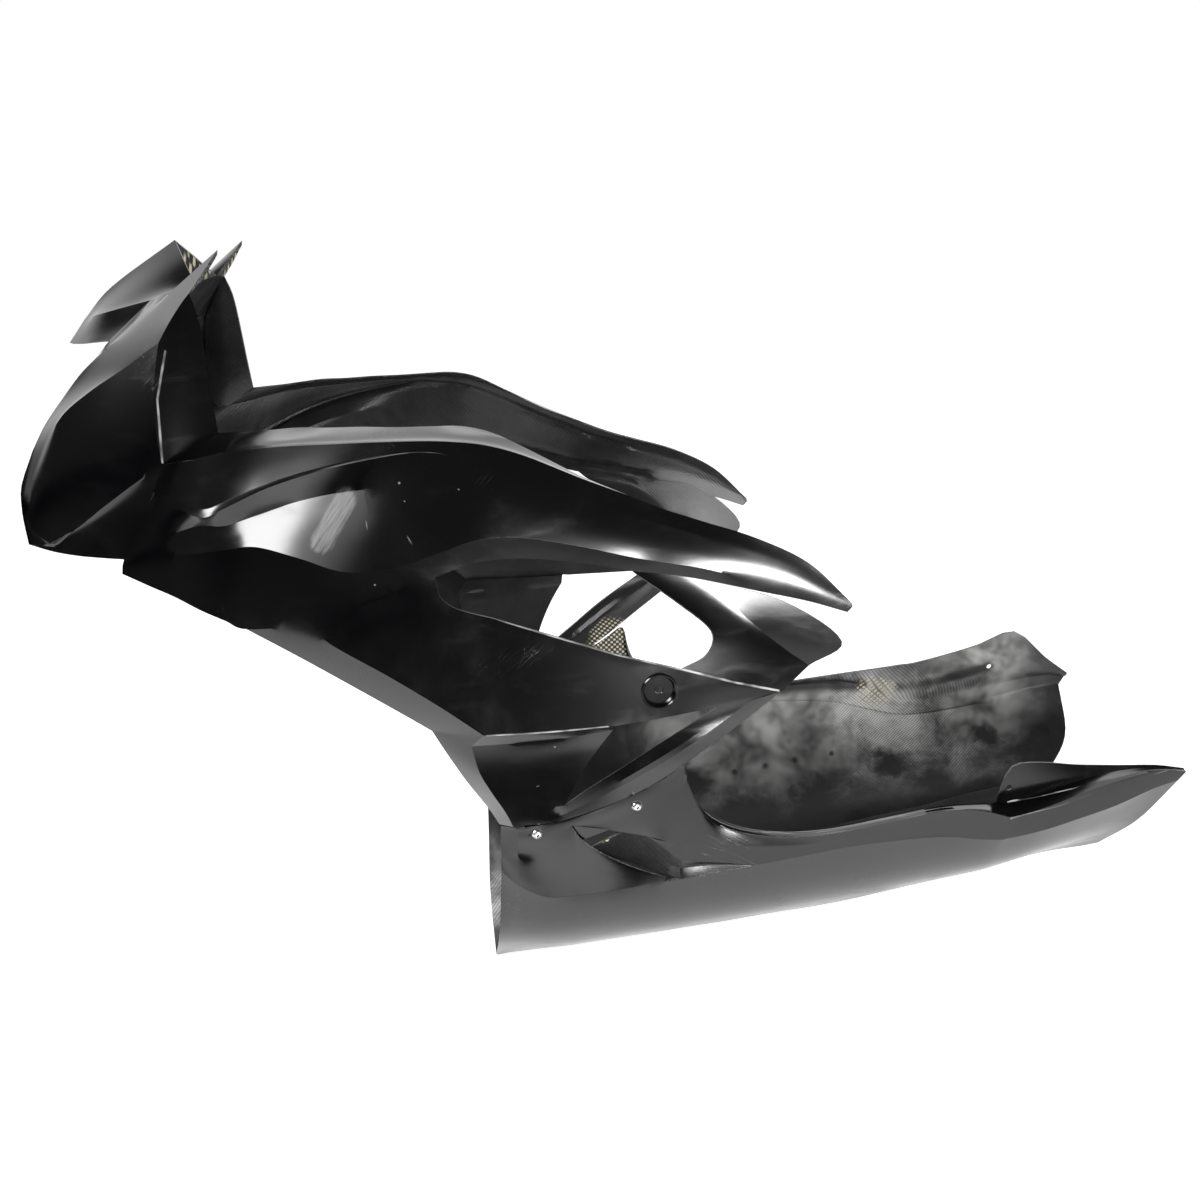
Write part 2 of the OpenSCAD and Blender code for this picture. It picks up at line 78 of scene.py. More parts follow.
def rail(points: Iterable[Triple]) -> Rail:
    """Turns given points, in millimetres from the nose, into vectors."""
    return [Vector(p) for p in points]


def in_row(point: Triple) -> Vector:
    """Moves a point from millimetres behind the nose to the row frame, in metres."""
    return Vector(((point[0] - ROW_ORIGIN) * MM, point[1] * MM, point[2] * MM))


def curve(points: Sequence[Triple], steps: int = 2) -> Rail:
    """Runs a smooth curve through points.

    Args:
        points: The points that the curve passes through.
        steps: Coarse steps between each pair of points.

    Returns:
        The points of the fine curve.
    """
    p = rail(points)
    last, fine = len(p) - 1, steps * FINE
    made: Rail = []
    for i in range(last):
        before = p[i - 1] if i > 0 else 2 * p[0] - p[1]
        after = p[i + 2] if i < last - 1 else 2 * p[last] - p[last - 1]
        b, c = p[i], p[i + 1]
        for j in range(fine):
            t = j / fine
            made.append(b + ((c - before) * t + (2 * before - 5 * b + 4 * c - after) * t * t
                             + (3 * b - before - 3 * c + after) * t ** 3) / 2)
    return made + [p[last]]


def straight(start: Triple, end: Triple, steps: int) -> Rail:
    """Divides the straight line between two points into coarse steps, each with its fine steps."""
    fine = steps * FINE
    return [Vector(start).lerp(Vector(end), i / fine) for i in range(fine + 1)]


def part(line: Rail, first: int, last: int) -> Rail:
    """Takes the stretch of a rail between two of its coarse steps."""
    return line[first * FINE:last * FINE + 1]


def held(point: Triple, steps: int) -> Rail:
    """Gives a rail that stays at one point, for a patch that ends in a tip."""
    return [Vector(point) for _ in range(steps * FINE + 1)]


def span(first: Rail, last: Rail, left: Rail, right: Rail) -> Grid:
    """Spans four rails that share their corners with one surface.

    Args:
        first: The upper rail, from front to rear.
        last: The lower rail, from front to rear.
        left: The front rail, from top to bottom.
        right: The rear rail, from top to bottom.

    Returns:
        Rows of points from the upper rail to the lower one.
    """
    n, m = len(first) - 1, len(left) - 1
    made: Grid = []
    for j in range(m + 1):
        t = j / m
        made.append([
            first[i].lerp(last[i], t) + left[j].lerp(right[j], i / n)
            - first[0].lerp(first[n], i / n).lerp(last[0].lerp(last[n], i / n), t)
            for i in range(n + 1)])
    return made


def rows(lines: Sequence[Rail], steps: int = 2) -> Grid:
    """Lays a surface through rails of equal length, curved from rail to rail.

    Args:
        lines: The rails, from top to bottom.
        steps: Coarse steps between each pair of rails.

    Returns:
        Rows of points from the first rail to the last one.
    """
    columns = [curve([line[i] for line in lines], steps) for i in range(len(lines[0]))]
    return [[column[j] for column in columns] for j in range(len(columns[0]))]


def mirrored(grid: Grid) -> Grid:
    """Gives the left side's copy of a patch drawn for the right side."""
    return [[Vector((p.x, -p.y, p.z)) for p in reversed(row)] for row in grid]


def clear_selection() -> None:
    if bpy.context.object and bpy.context.object.mode != "OBJECT":
        bpy.ops.object.mode_set(mode="OBJECT")
    bpy.ops.object.select_all(action="DESELECT")


def pick(*objects: bpy.types.Object) -> None:
    """Selects only the given objects.

    Args:
        objects: The objects, of which the first becomes active.
    """
    clear_selection()
    for made in objects:
        made.select_set(True)
    bpy.context.view_layer.objects.active = objects[0]


def join(name: str, objects: Sequence[bpy.types.Object]) -> bpy.types.Object:
    """Joins objects into the first one.

    Args:
        name: The new name.
        objects: The objects to join.

    Returns:
        The joined object.
    """
    pick(*objects)
    if len(objects) > 1:
        bpy.ops.object.join()
    whole = bpy.context.object
    whole.name = whole.data.name = name
    return whole


def choose(piece: bpy.types.Object, verts: Optional[Callable[[Any], bool]] = None,
           edges: Optional[Callable[[Any], bool]] = None, faces: Optional[Callable[[Any], bool]] = None) -> None:
    """Selects parts of a mesh by test, then leaves the piece in edit mode with them selected.

    Args:
        piece: The piece to edit.
        verts: Tells whether to select a vertex.
        edges: Tells whether to select an edge.
        faces: Tells whether to select a face.
    """
    pick(piece)
    bpy.ops.object.mode_set(mode="EDIT")
    bpy.ops.mesh.select_mode(type="VERT" if verts else "EDGE" if edges else "FACE")
    bpy.ops.mesh.select_all(action="DESELECT")
    bpy.ops.object.mode_set(mode="OBJECT")
    mesh = piece.data
    for test, items in ((verts, mesh.vertices), (edges, mesh.edges), (faces, mesh.polygons)):
        if test:
            for item in items:
                item.select = test(item)
    bpy.ops.object.mode_set(mode="EDIT")


def leave_edit() -> None:
    """Returns to object mode."""
    bpy.ops.object.mode_set(mode="OBJECT")


def modify(piece: bpy.types.Object, kind: str, **settings: Any) -> None:
    """Adds one modifier to a piece and applies it.

    Args:
        piece: The piece to change.
        kind: The modifier's type.
        settings: The modifier's settings.
    """
    pick(piece)
    modifier = piece.modifiers.new(kind.title(), kind)
    for key, value in settings.items():
        setattr(modifier, key, value)
    bpy.ops.object.modifier_apply(modifier=modifier.name)


def lay(name: str, grid: Grid, finishes: Materials, shown: Finish) -> bpy.types.Object:
    """Adds a grid and sets its crossings on a patch's points.

    Args:
        name: The sheet's name.
        grid: The patch's rows of points.
        finishes: Gelcoat, cloth and trimmed rim.
        shown: The finish of the sheet's faces.

    Returns:
        The sheet.
    """
    across, down = len(grid[0]) - 1, len(grid) - 1
    clear_selection()
    bpy.ops.mesh.primitive_grid_add(x_subdivisions=across, y_subdivisions=down, size=2, location=(0, 0, 0))
    sheet = bpy.context.object
    sheet.name = name
    for vertex in sheet.data.vertices:
        i, j = round((vertex.co.x + 1) / 2 * across), round((vertex.co.y + 1) / 2 * down)
        vertex.co = in_row(grid[j][i])
    for finish in finishes:
        sheet.data.materials.append(finish)
    for face in sheet.data.polygons:
        face.material_index = shown.value
    return sheet


def lathe(name: str, profile: Sequence[tuple[float, float]], steps: int) -> bpy.types.Object:
    """Spins a closed profile about the Y axis.

    Args:
        name: The piece's name.
        profile: Radius and depth of each corner, in millimetres.
        steps: Steps in the full turn.

    Returns:
        The turned piece, about the origin.
    """
    clear_selection()
    bpy.ops.mesh.primitive_circle_add(vertices=len(profile), radius=1, fill_type="NOTHING")
    ring = bpy.context.object
    ring.name = name
    for vertex, (radius, depth) in zip(ring.data.vertices, profile):
        vertex.co = Vector((radius, depth, 0)) * MM
    choose(ring, verts=lambda vertex: True)
    bpy.ops.mesh.spin(steps=steps, dupli=False, angle=math.tau, center=(0, 0, 0), axis=(0, 1, 0))
    bpy.ops.mesh.select_all(action="SELECT")
    bpy.ops.mesh.remove_doubles(threshold=WELD / 10)
    bpy.ops.mesh.delete_loose()
    bpy.ops.mesh.select_all(action="SELECT")
    bpy.ops.mesh.normals_make_consistent(inside=False)
    leave_edit()
    return ring


def set_in(piece: bpy.types.Object, centre: Triple, side: Side) -> None:
    """Moves a turned piece from the origin to its place, facing out on its side.

    Args:
        piece: The piece to move.
        centre: Its place on the right side, in millimetres from the nose.
        side: The side that it goes to.
    """
    turn = Matrix.Rotation(math.pi, 4, "Z") if side is Side.LEFT else Matrix.Identity(4)
    piece.data.transform(Matrix.Translation(in_row((centre[0], side.value * centre[1], centre[2]))) @ turn)


def crease_angles(mesh: bpy.types.Mesh) -> dict[int, float]:
    """Measures the turn at each edge of a mesh.

    Args:
        mesh: The mesh to measure.

    Returns:
        The angle between the two faces at each edge, and pi at a free edge.
    """
    shared: dict[tuple[int, int], list[Vector]] = {}
    for face in mesh.polygons:
        for key in face.edge_keys:
            shared.setdefault(key, []).append(face.normal)
    return {edge.index: shared[edge.key][0].angle(shared[edge.key][1], 0.0)
            if len(shared.get(edge.key, ())) == 2 else math.pi for edge in mesh.edges}


def on_rails(mesh: bpy.types.Mesh, rails: Sequence[Rail]) -> set[int]:
    """Finds the vertices of a mesh that lie on rails, to a tenth of a millimetre.

    Args:
        mesh: The mesh to search.
        rails: The rails.

    Returns:
        The vertices' numbers.
    """
    places = {tuple(round(c, 4) for c in in_row(point)) for line in rails for point in line}
    return {v.index for v in mesh.vertices if tuple(round(c, 4) for c in v.co) in places}


@dataclass(frozen=True)
class Shell:
    """One moulded skin: patches welded, faired, rounded at the creases and given their thickness."""

    name: str
    probe: tuple[float, float, float]
    outward: tuple[float, float, float]
    crease: float = math.radians(17)
    fairing_rounds: int = 14
    round_width: float = 1.7
    round_steps: int = 3

    def weld(self, painted: Sequence[Grid], bare: Sequence[Grid], finishes: Materials) -> bpy.types.Object:
        """Welds patches into one open sheet whose faces point outwards.

        Args:
            painted: The patches that show gelcoat.
            bare: The patches that show cloth.
            finishes: Gelcoat, cloth and trimmed rim.

        Returns:
            The sheet.
        """
        sheets = [lay(f"{self.name}_sheet", grid, finishes, Finish.GELCOAT) for grid in painted]
        sheets += [lay(f"{self.name}_sheet", grid, finishes, Finish.CLOTH) for grid in bare]
        skin = join(self.name, sheets)
        choose(skin, faces=lambda face: True)
        bpy.ops.mesh.select_mode(type="VERT")
        bpy.ops.mesh.select_all(action="SELECT")
        bpy.ops.mesh.remove_doubles(threshold=WELD)
        bpy.ops.mesh.dissolve_degenerate(threshold=WELD)
        bpy.ops.mesh.normals_make_consistent(inside=False)
        leave_edit()
        here = in_row(self.probe)
        nearest = min(skin.data.polygons, key=lambda face: (face.center - here).length_squared)
        if nearest.normal.dot(Vector(self.outward)) < 0:
            choose(skin, faces=lambda face: True)
            bpy.ops.mesh.flip_normals()
            leave_edit()
        return skin

    def fair(self, skin: bpy.types.Object, kept: Sequence[Rail], eased: Callable[[Vector], bool]) -> None:
        """Evens the panels out between their creases, their free edges and the ridges that are kept.

        Args:
            skin: The open sheet.
            kept: The ridges that stay where they are.
            eased: Tells whether a crease near a place flows away into the panels.
        """
        fixed = on_rails(skin.data, kept)
        angles = crease_angles(skin.data)
        for edge in skin.data.edges:
            middle = (skin.data.vertices[edge.vertices[0]].co + skin.data.vertices[edge.vertices[1]].co) / 2
            if angles[edge.index] == math.pi or (angles[edge.index] > self.crease and not eased(middle)):
                fixed.update(edge.vertices)
        choose(skin, verts=lambda vertex: vertex.index not in fixed)
        bpy.ops.mesh.vertices_smooth(factor=0.5, repeat=self.fairing_rounds)
        leave_edit()

    def thicken(self, skin: bpy.types.Object) -> None:
        """Rounds the creases and gives the sheet its wall, with the cloth inside and the trimmed rim.

        Args:
            skin: The open sheet.
        """
        modify(skin, "BEVEL", width=self.round_width * MM, segments=self.round_steps, limit_method="ANGLE",
               angle_limit=self.crease, miter_outer="MITER_ARC")
        modify(skin, "SOLIDIFY", thickness=WALL * MM, offset=-1.0, use_even_offset=True, use_quality_normals=True,
               thickness_clamp=1.5, use_rim=True, material_offset=Finish.CLOTH.value,
               material_offset_rim=Finish.TRIMMED.value)


@dataclass(frozen=True)
class Bore:
    """A hole across the fairing, from one depth out to another on the right side."""

    x: float
    z: float
    diameter: float
    inner: float
    outer: float
    side: Side

    def cutter(self) -> bpy.types.Object:
        """Adds the drill that makes the hole.

        Returns:
            The drill.
        """
        clear_selection()
        middle = self.side.value * (self.inner + self.outer) / 2
        bpy.ops.mesh.primitive_cylinder_add(
            vertices=40, radius=self.diameter / 2 * MM, depth=(self.outer - self.inner) * MM,
            location=in_row((self.x, middle, self.z)), rotation=(math.pi / 2, 0, 0))
        drill = bpy.context.object
        bpy.ops.object.transform_apply(location=True, rotation=True, scale=True)
        return drill


def drill(piece: bpy.types.Object, bores: Sequence[Bore]) -> None:
    """Drills holes through a piece.

    Args:
        piece: The piece to drill.
        bores: The holes.
    """
    cutters = join("drills", [bore.cutter() for bore in bores])
    for slot in piece.data.materials:
        cutters.data.materials.append(slot)
    for face in cutters.data.polygons:
        face.material_index = Finish.TRIMMED.value
    modify(piece, "BOOLEAN", object=cutters, operation="DIFFERENCE", solver="MANIFOLD")
    bpy.data.objects.remove(cutters)


def finish_shading(piece: bpy.types.Object, ridges: Sequence[Rail] = (), angle: float = math.radians(32)) -> None:
    """Smooths a finished piece and weights its normals towards its broad faces.

    Args:
        piece: The piece to shade.
        ridges: Ridges that stay sharp.
        angle: The turn from which an edge stays sharp.
    """
    if ridges:
        on_crest = on_rails(piece.data, ridges)
        choose(piece, edges=lambda edge: on_crest.issuperset(edge.vertices))
        bpy.ops.mesh.mark_sharp()
        leave_edit()
    pick(piece)
    bpy.ops.object.shade_smooth_by_angle(angle=angle)
    modify(piece, "WEIGHTED_NORMAL", weight=50, keep_sharp=True)


@dataclass(frozen=True)
class UpperFairing:
    """The nose with its beak, horns and ram-air mouth, the side panels, the legs, struts and fins."""

    shell: Shell = Shell("upper_fairing_skin", (300.0, 210.0, 585.0), (0.0, 1.0, 0.3))
    mount: tuple[float, float, float] = (594.0, 251.0, 371.0)
    recess_diameter: float = 30.0
    recess_depth: float = 7.0
    mount_hole: float = 8.0
    right_fin_lift: float = 14.0
    hollow_depth: float = 5.0
    hollow_place: float = 0.87

    shelf_outer = ((149, 162, 580), (165, 168, 583), (182, 174, 587), (205, 181, 593), (232, 187, 597),
                   (262, 194, 600), (298, 200, 602), (338, 206, 604), (380, 210, 605), (410, 212, 604),
                   (440, 212, 600), (475, 209, 589), (526, 203, 566), (570, 200, 548), (605, 204, 534),
                   (640, 209, 523), (690, 216, 507), (740, 218, 482), (782, 220, 443))
    brow = ((137, 155, 552), (152, 166, 546), (166, 178, 540), (185, 190, 536), (208, 198, 547),
            (245, 206, 565), (290, 212, 580), (335, 214, 590), (378, 216, 596), (410, 219, 593),
            (440, 222, 587), (477, 220, 573), (528, 215, 550), (571, 213, 533), (606, 215, 521),
            (641, 217, 510), (691, 220, 495), (740, 220, 472), (784, 220, 441))
    channel = ((101, 140, 486), (130, 158, 505), (156, 171, 518), (180, 179, 526), (203, 186, 527),
               (235, 192, 538), (275, 200, 552), (322, 212, 562), (370, 226, 566), (405, 232, 563),
               (437, 236, 558), (475, 232, 545), (528, 225, 524), (571, 221, 511), (606, 221, 501),
               (641, 222, 493), (691, 223, 479), (740, 222, 462), (785, 220, 438))
    swell = ((99, 140, 480), (127, 160, 490), (152, 174, 498), (176, 184, 501), (203, 192, 506),
             (232, 208, 512), (272, 227, 505), (312, 241, 495), (360, 247, 500), (393, 247, 511),
             (432, 244, 522), (472, 237, 520), (527, 228, 507), (570, 223, 495), (605, 223, 488),
             (640, 223, 481), (690, 223, 467), (740, 222, 453), (783, 220, 435))
    panel_foot = ((98, 140, 472), (126, 158, 464), (150, 172, 457), (174, 184, 447), (197, 194, 439),
                  (217, 203, 433), (268, 228, 444), (314, 238, 463), (359, 244, 479), (390, 246, 489),
                  (429, 241, 500), (471, 233, 500), (527, 225, 491), (571, 220, 481), (606, 220, 476),
                  (641, 220, 469), (691, 221, 457), (740, 221, 445), (780, 220, 432))
    shelf_inner = ((197, 140, 604), (213, 144, 605), (230, 148, 606), (250, 152, 608), (272, 156, 610),
                   (298, 160, 610), (328, 165, 611), (360, 171, 611), (393, 176, 612), (420, 179, 612),
                   (447, 182, 606), (480, 184, 590), (526, 190, 566), (570, 200, 548))

    def corner(self) -> Rail:
        """Gives the foot of the horn's side wall, where it meets the shelf."""
        return curve([(149, 162, 580), (160, 155, 582), (177, 147, 592), (197, 140, 604)])

    def nose(self) -> list[Grid]:
        """Draws the right half of the nose.

        Returns:
            The patches of the beak, the horn, the lobe and the ram-air mouth.
        """
        horn = (203, 90, 765)
        beak_low = curve([(40, 0, 672), (55, 20, 674), (70, 38, 677), (92, 60, 681)])
        beak_crease = curve([(57, 0, 695), (75, 24, 701), (98, 44, 708), (134, 65, 718)])
        beak_centre = curve([(57, 0, 695), (86, 0, 726), (150, 0, 770)])
        beak_trail = curve([(150, 0, 770), (162, 33, 753), (171, 53, 740), (178, 65, 731)])
        beak_side = curve([(134, 65, 718), (156, 67, 726), (178, 65, 731)])
        beak_end = straight((92, 60, 681), (134, 65, 718), 2)
        ridge_low = curve([(13, 75, 579), (28, 78, 604), (47, 82, 628), (70, 85, 655), (98, 88, 679)])
        ridge_high = curve([(98, 88, 679), (128, 90, 703), (168, 90, 736), horn])
        lobe_top = curve([(26, 90, 579), (50, 105, 615), (81, 118, 640), (117, 130, 663), (152, 143, 687)])
        wall_top = curve([(152, 143, 687), (162, 133, 705), (171, 122, 719), (178, 117, 728)])
        lobe_front = curve([(26, 90, 579), (12, 90, 548), (6, 92, 523), (12, 97, 504), (31, 105, 491)], 1)
        lobe_edge = curve([(13, 75, 579), (-1, 76, 546), (-3, 78, 525), (-2, 80, 508), (1, 84, 489)], 1)
        lobe_rear = curve([(152, 143, 687), (147, 150, 658), (145, 157, 630), (146, 160, 604), (149, 162, 580)], 1)
        lobe_ridge = curve([(31, 105, 491), (60, 122, 515), (95, 140, 542), (125, 153, 564), (149, 162, 580)])
        lobe_low = curve([(1, 84, 489), (27, 99, 485), (53, 114, 484), (77, 128, 485), (101, 140, 486)])
        wall_rear = curve([(178, 117, 728), (185, 122, 708), (189, 127, 680), (193, 134, 640), (197, 140, 604)], 1)
        cheek_end = curve([self.shelf_outer[0], self.brow[0], self.channel[0]])
        front_foot = straight((31, 105, 491), (1, 84, 489), 4)
        duct_outer = ridge_low[::-1] + lobe_edge[1:]
        duct_inner = curve([(92, 60, 681), (78, 61, 664), (66, 61, 640), (58, 62, 615), (52, 62, 590)]) + curve(
            [(52, 62, 590), (47, 62, 562), (44, 62, 538), (41, 62, 515), (40, 62, 495)], 1)[1:]
        valley_front = straight((98, 88, 679), (92, 60, 681), 2)
        duct_foot = straight((1, 84, 489), (40, 62, 495), 2)
        brow_front = straight((13, 75, 579), (26, 90, 579), 4)
        return [
            span(beak_crease, beak_low, straight((57, 0, 695), (40, 0, 672), 2), beak_end[::-1]),
            span(beak_trail, beak_crease, beak_centre[::-1], beak_side[::-1]),
            span(beak_end + beak_side[1:], ridge_high, valley_front[::-1], straight((178, 65, 731), horn, 2)),
            span(ridge_low + ridge_high[1:], lobe_top + wall_top[1:], brow_front, straight(horn, (178, 117, 728), 4)),
            span(lobe_top, lobe_ridge, lobe_front, lobe_rear),
            span(brow_front, front_foot[::-1], lobe_edge, lobe_front),
            span(lobe_ridge, lobe_low, front_foot, cheek_end),
            span(wall_top, self.corner(), lobe_rear, wall_rear),
            span(duct_outer, duct_inner, valley_front, duct_foot),
            span(straight((20, 0, 480), (50, 0, 490), 2), duct_foot,
                 straight((20, 0, 480), (1, 84, 489), 4), straight((50, 0, 490), (40, 62, 495), 4)),
        ]

    def brow_hollow(self) -> Rail:
        """Draws the hollow between the shelf and the brow's flared ridge.

        Returns:
            The hollow's rail, which sinks in behind the nose and runs out at about half the side's length.
        """
        top, brow = curve(self.shelf_outer), curve(self.brow)
        last, starts, full, runs_out = len(top) - 1, 15, 28, 1 / 1.9
        shares = [max(0.0, min((i - starts) / (full - starts), 1 - i / last / runs_out)) for i in range(last + 1)]
        return [a.lerp(b, self.hollow_place) - Vector((0, self.hollow_depth, 0)) * share
                for a, b, share in zip(top, brow, shares)]

    def side(self) -> list[Grid]:
        """Draws the right side above the panel.

        Returns:
            The patches of the shelf, the brow, the channel and the swell.
        """
        top, brow, channel = curve(self.shelf_outer), curve(self.brow), curve(self.channel)
        swell, foot, inner = curve(self.swell), curve(self.panel_foot), curve(self.shelf_inner)
        return [
            span(inner, part(top, 0, 26), self.corner()[::-1], held(top[26 * FINE], 6)),
            rows([top, self.brow_hollow()], 1),
            rows([self.brow_hollow(), brow], 1),
            rows([brow, channel]),
            rows([channel, swell], 1),
            rows([swell, foot], 1),
        ]

    def fin_crease(self) -> Rail:
        """Draws the crease where the fin folds out of the rear leg."""
        return curve([curve(self.panel_foot)[30 * FINE], (679, 221, 433), (714, 218, 402), (746, 216, 378)])

    def ridges(self) -> list[Rail]:
        """Gives both sides' crisp ridges: the brow's hollow, the swell's edge and the fin's crease."""
        right = [part(self.brow_hollow(), 0, 20), part(curve(self.swell), 4, 15), self.fin_crease()]
        return right + mirrored(right)

    def lower(self, lift: float) -> list[Grid]:
        """Draws the right middle panel, leg, strut, rear leg, fin and hidden lap flange.

        Args:
            lift: How much higher the fin's upper edge stands, in millimetres.

        Returns:
            The patches.
        """
        foot = curve(self.panel_foot)
        tip, knee, knee_in, heel = (719, 222, 355), (429, 255, 338), (418, 241, 322), (382, 226, 333)
        lap_top, lap_in, strut_root, strut_head = (553, 252, 340), (551, 243, 332), (508, 209, 240), (655, 234, 347)
        window_corner = (441, 252, 450)
        panel_crease = curve([foot[12 * FINE], (300, 240, 424), (345, 249, 398), (390, 254, 368), knee])
        panel_front = curve([foot[10 * FINE], (264, 215, 408), (309, 222, 381), (353, 226, 353), heel])
        crease_foot = straight(knee, heel, 2)
        window_front = curve([foot[18 * FINE], (394, 248, 472), (404, 249, 462), (420, 251, 456), window_corner])
        panel_cross = straight(knee, window_corner, 6)
        panel_top = curve([window_corner, (497, 254, 431), (555, 252, 410), (616, 243, 390), (668, 234, 371), tip])
        strut_end = curve([strut_head, (688, 229, 350), tip], 1)
        panel_low = (curve([knee, (490, 255, 338), lap_top]) + curve([lap_top, (600, 245, 343), strut_head])[1:]
                     + strut_end[1:])
        leg_top = curve([knee_in, (484, 245, 325), lap_in])
        leg_front = curve([heel, (395, 218, 306), (413, 205, 270), (433, 190, 234), (445, 182, 210)])
        leg_crease = curve([knee_in, (425, 230, 290), (437, 219, 262), (450, 207, 235), (458, 198, 214)])
        strut_start = curve([strut_root, (505, 208, 229), (502, 203, 219)], 1)
        leg_rear = curve([lap_in, (537, 237, 310), (522, 226, 280), strut_root]) + strut_start[1:]
        leg_foot = curve([(458, 198, 214), (480, 200, 216), (502, 203, 219)])
        step_end = straight(knee, knee_in, 2)
        strut_top = curve([strut_root, (530, 214, 258), (562, 221, 282), (602, 229, 312), strut_head])
        strut_mid = curve([(505, 208, 229), (533, 215, 245), (575, 225, 272), (625, 234, 307), (688, 229, 350)])
        strut_low = curve([(502, 203, 219), (540, 208, 233), (590, 214, 257), (650, 221, 301), tip])
        leg_inner = curve([foot[26 * FINE], (616, 228, 449), (646, 231, 422), (641, 236, 401), (616, 243, 390)])
        fin_start, fin_crease = foot[30 * FINE], self.fin_crease()
        fin_edge = curve([fin_start, (718, 221, 445 + lift), (776, 221, 403 + lift / 2), (746, 216, 378)])
        seam = leg_foot[FINE:] + part(strut_low, 0, 4)[1:]
        lap = WALL + LAP_GAP
        joggle = [p - Vector((0, lap + LAP_LEAN / 4, 0)) for p in seam]
        flange_low = [p - Vector((0, lap + LAP_LEAN, LAP_HEIGHT)) for p in seam]
        return [
            span(panel_crease, panel_front, part(foot, 10, 12)[::-1], crease_foot),
            span(part(foot, 12, 18), panel_cross, panel_crease, window_front),
            span(panel_top, panel_low, panel_cross[::-1], held(tip, 6)),
            span(crease_foot[::-1], straight(heel, knee_in, 2), held(heel, 2), step_end),
            span(part(panel_low, 0, 4), leg_top, step_end, straight(lap_top, lap_in, 2)),
            span(leg_top, leg_foot, leg_crease, leg_rear),
            span(straight(heel, knee_in, 2), straight((445, 182, 210), (458, 198, 214), 2), leg_front, leg_crease),
            rows([strut_top, strut_mid, strut_low], 1),
            span(part(foot, 26, 30), part(panel_top, 6, 10), leg_inner,
                 fin_crease + straight(fin_crease[-1], tip, 2)[1:]),
            span(fin_edge, fin_crease, held(fin_start, 2), held(fin_crease[-1], 2)),
            rows([seam, joggle], 1),
            rows([joggle, flange_low], 1),
        ]

    def cup(self, side: Side, finishes: Materials) -> bpy.types.Object:
        """Turns the stepped cup of the side mount's round recess.

        Args:
            side: The side that the cup goes to.
            finishes: Gelcoat, cloth and trimmed rim.

        Returns:
            The cup, in its place.
        """
        floor, lip = -self.recess_depth, -0.6
        inner, outer, hole = self.recess_diameter / 2, self.recess_diameter / 2 + WALL, self.mount_hole / 2
        cup = lathe("mount_cup", [
            (hole, floor - WALL), (outer - 1.2, floor - WALL), (outer, floor - WALL + 1.2), (outer, lip - 0.9),
            (outer - 0.8, lip), (inner + 0.8, lip), (inner, lip - 0.8), (inner, floor + 1.5),
            (inner - 1.5, floor), (hole + 0.5, floor), (hole, floor - 0.5)], 48)
        set_in(cup, self.mount, side)
        for finish in finishes:
            cup.data.materials.append(finish)
        return cup

    def build(self, bores: Sequence[Bore], finishes: Materials) -> bpy.types.Object:
        """Moulds the skin, drills it and sets the two cups in it.

        Args:
            bores: The holes for the joint screws.
            finishes: Gelcoat, cloth and trimmed rim.

        Returns:
            The finished skin.
        """
        upper = self.nose() + self.side()
        right, left = upper + self.lower(self.right_fin_lift), [mirrored(grid) for grid in upper + self.lower(0)]
        skin = self.shell.weld(right + left, (), finishes)
        ridges = self.ridges()
        self.shell.fair(skin, ridges, lambda place: False)
        self.shell.thicken(skin)
        x, y, z = self.mount
        cup_bore, reach_in, reach_out = self.recess_diameter + 2 * WALL - 1, 26, 14
        drill(skin, [*bores, *(Bore(x, z, cup_bore, y - reach_in, y + reach_out, side) for side in Side)])
        whole = join("upper_fairing_skin", [skin, *(self.cup(side, finishes) for side in Side)])
        finish_shading(whole, ridges)
        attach(whole, "root")
        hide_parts("upper_fairing")
        return whole


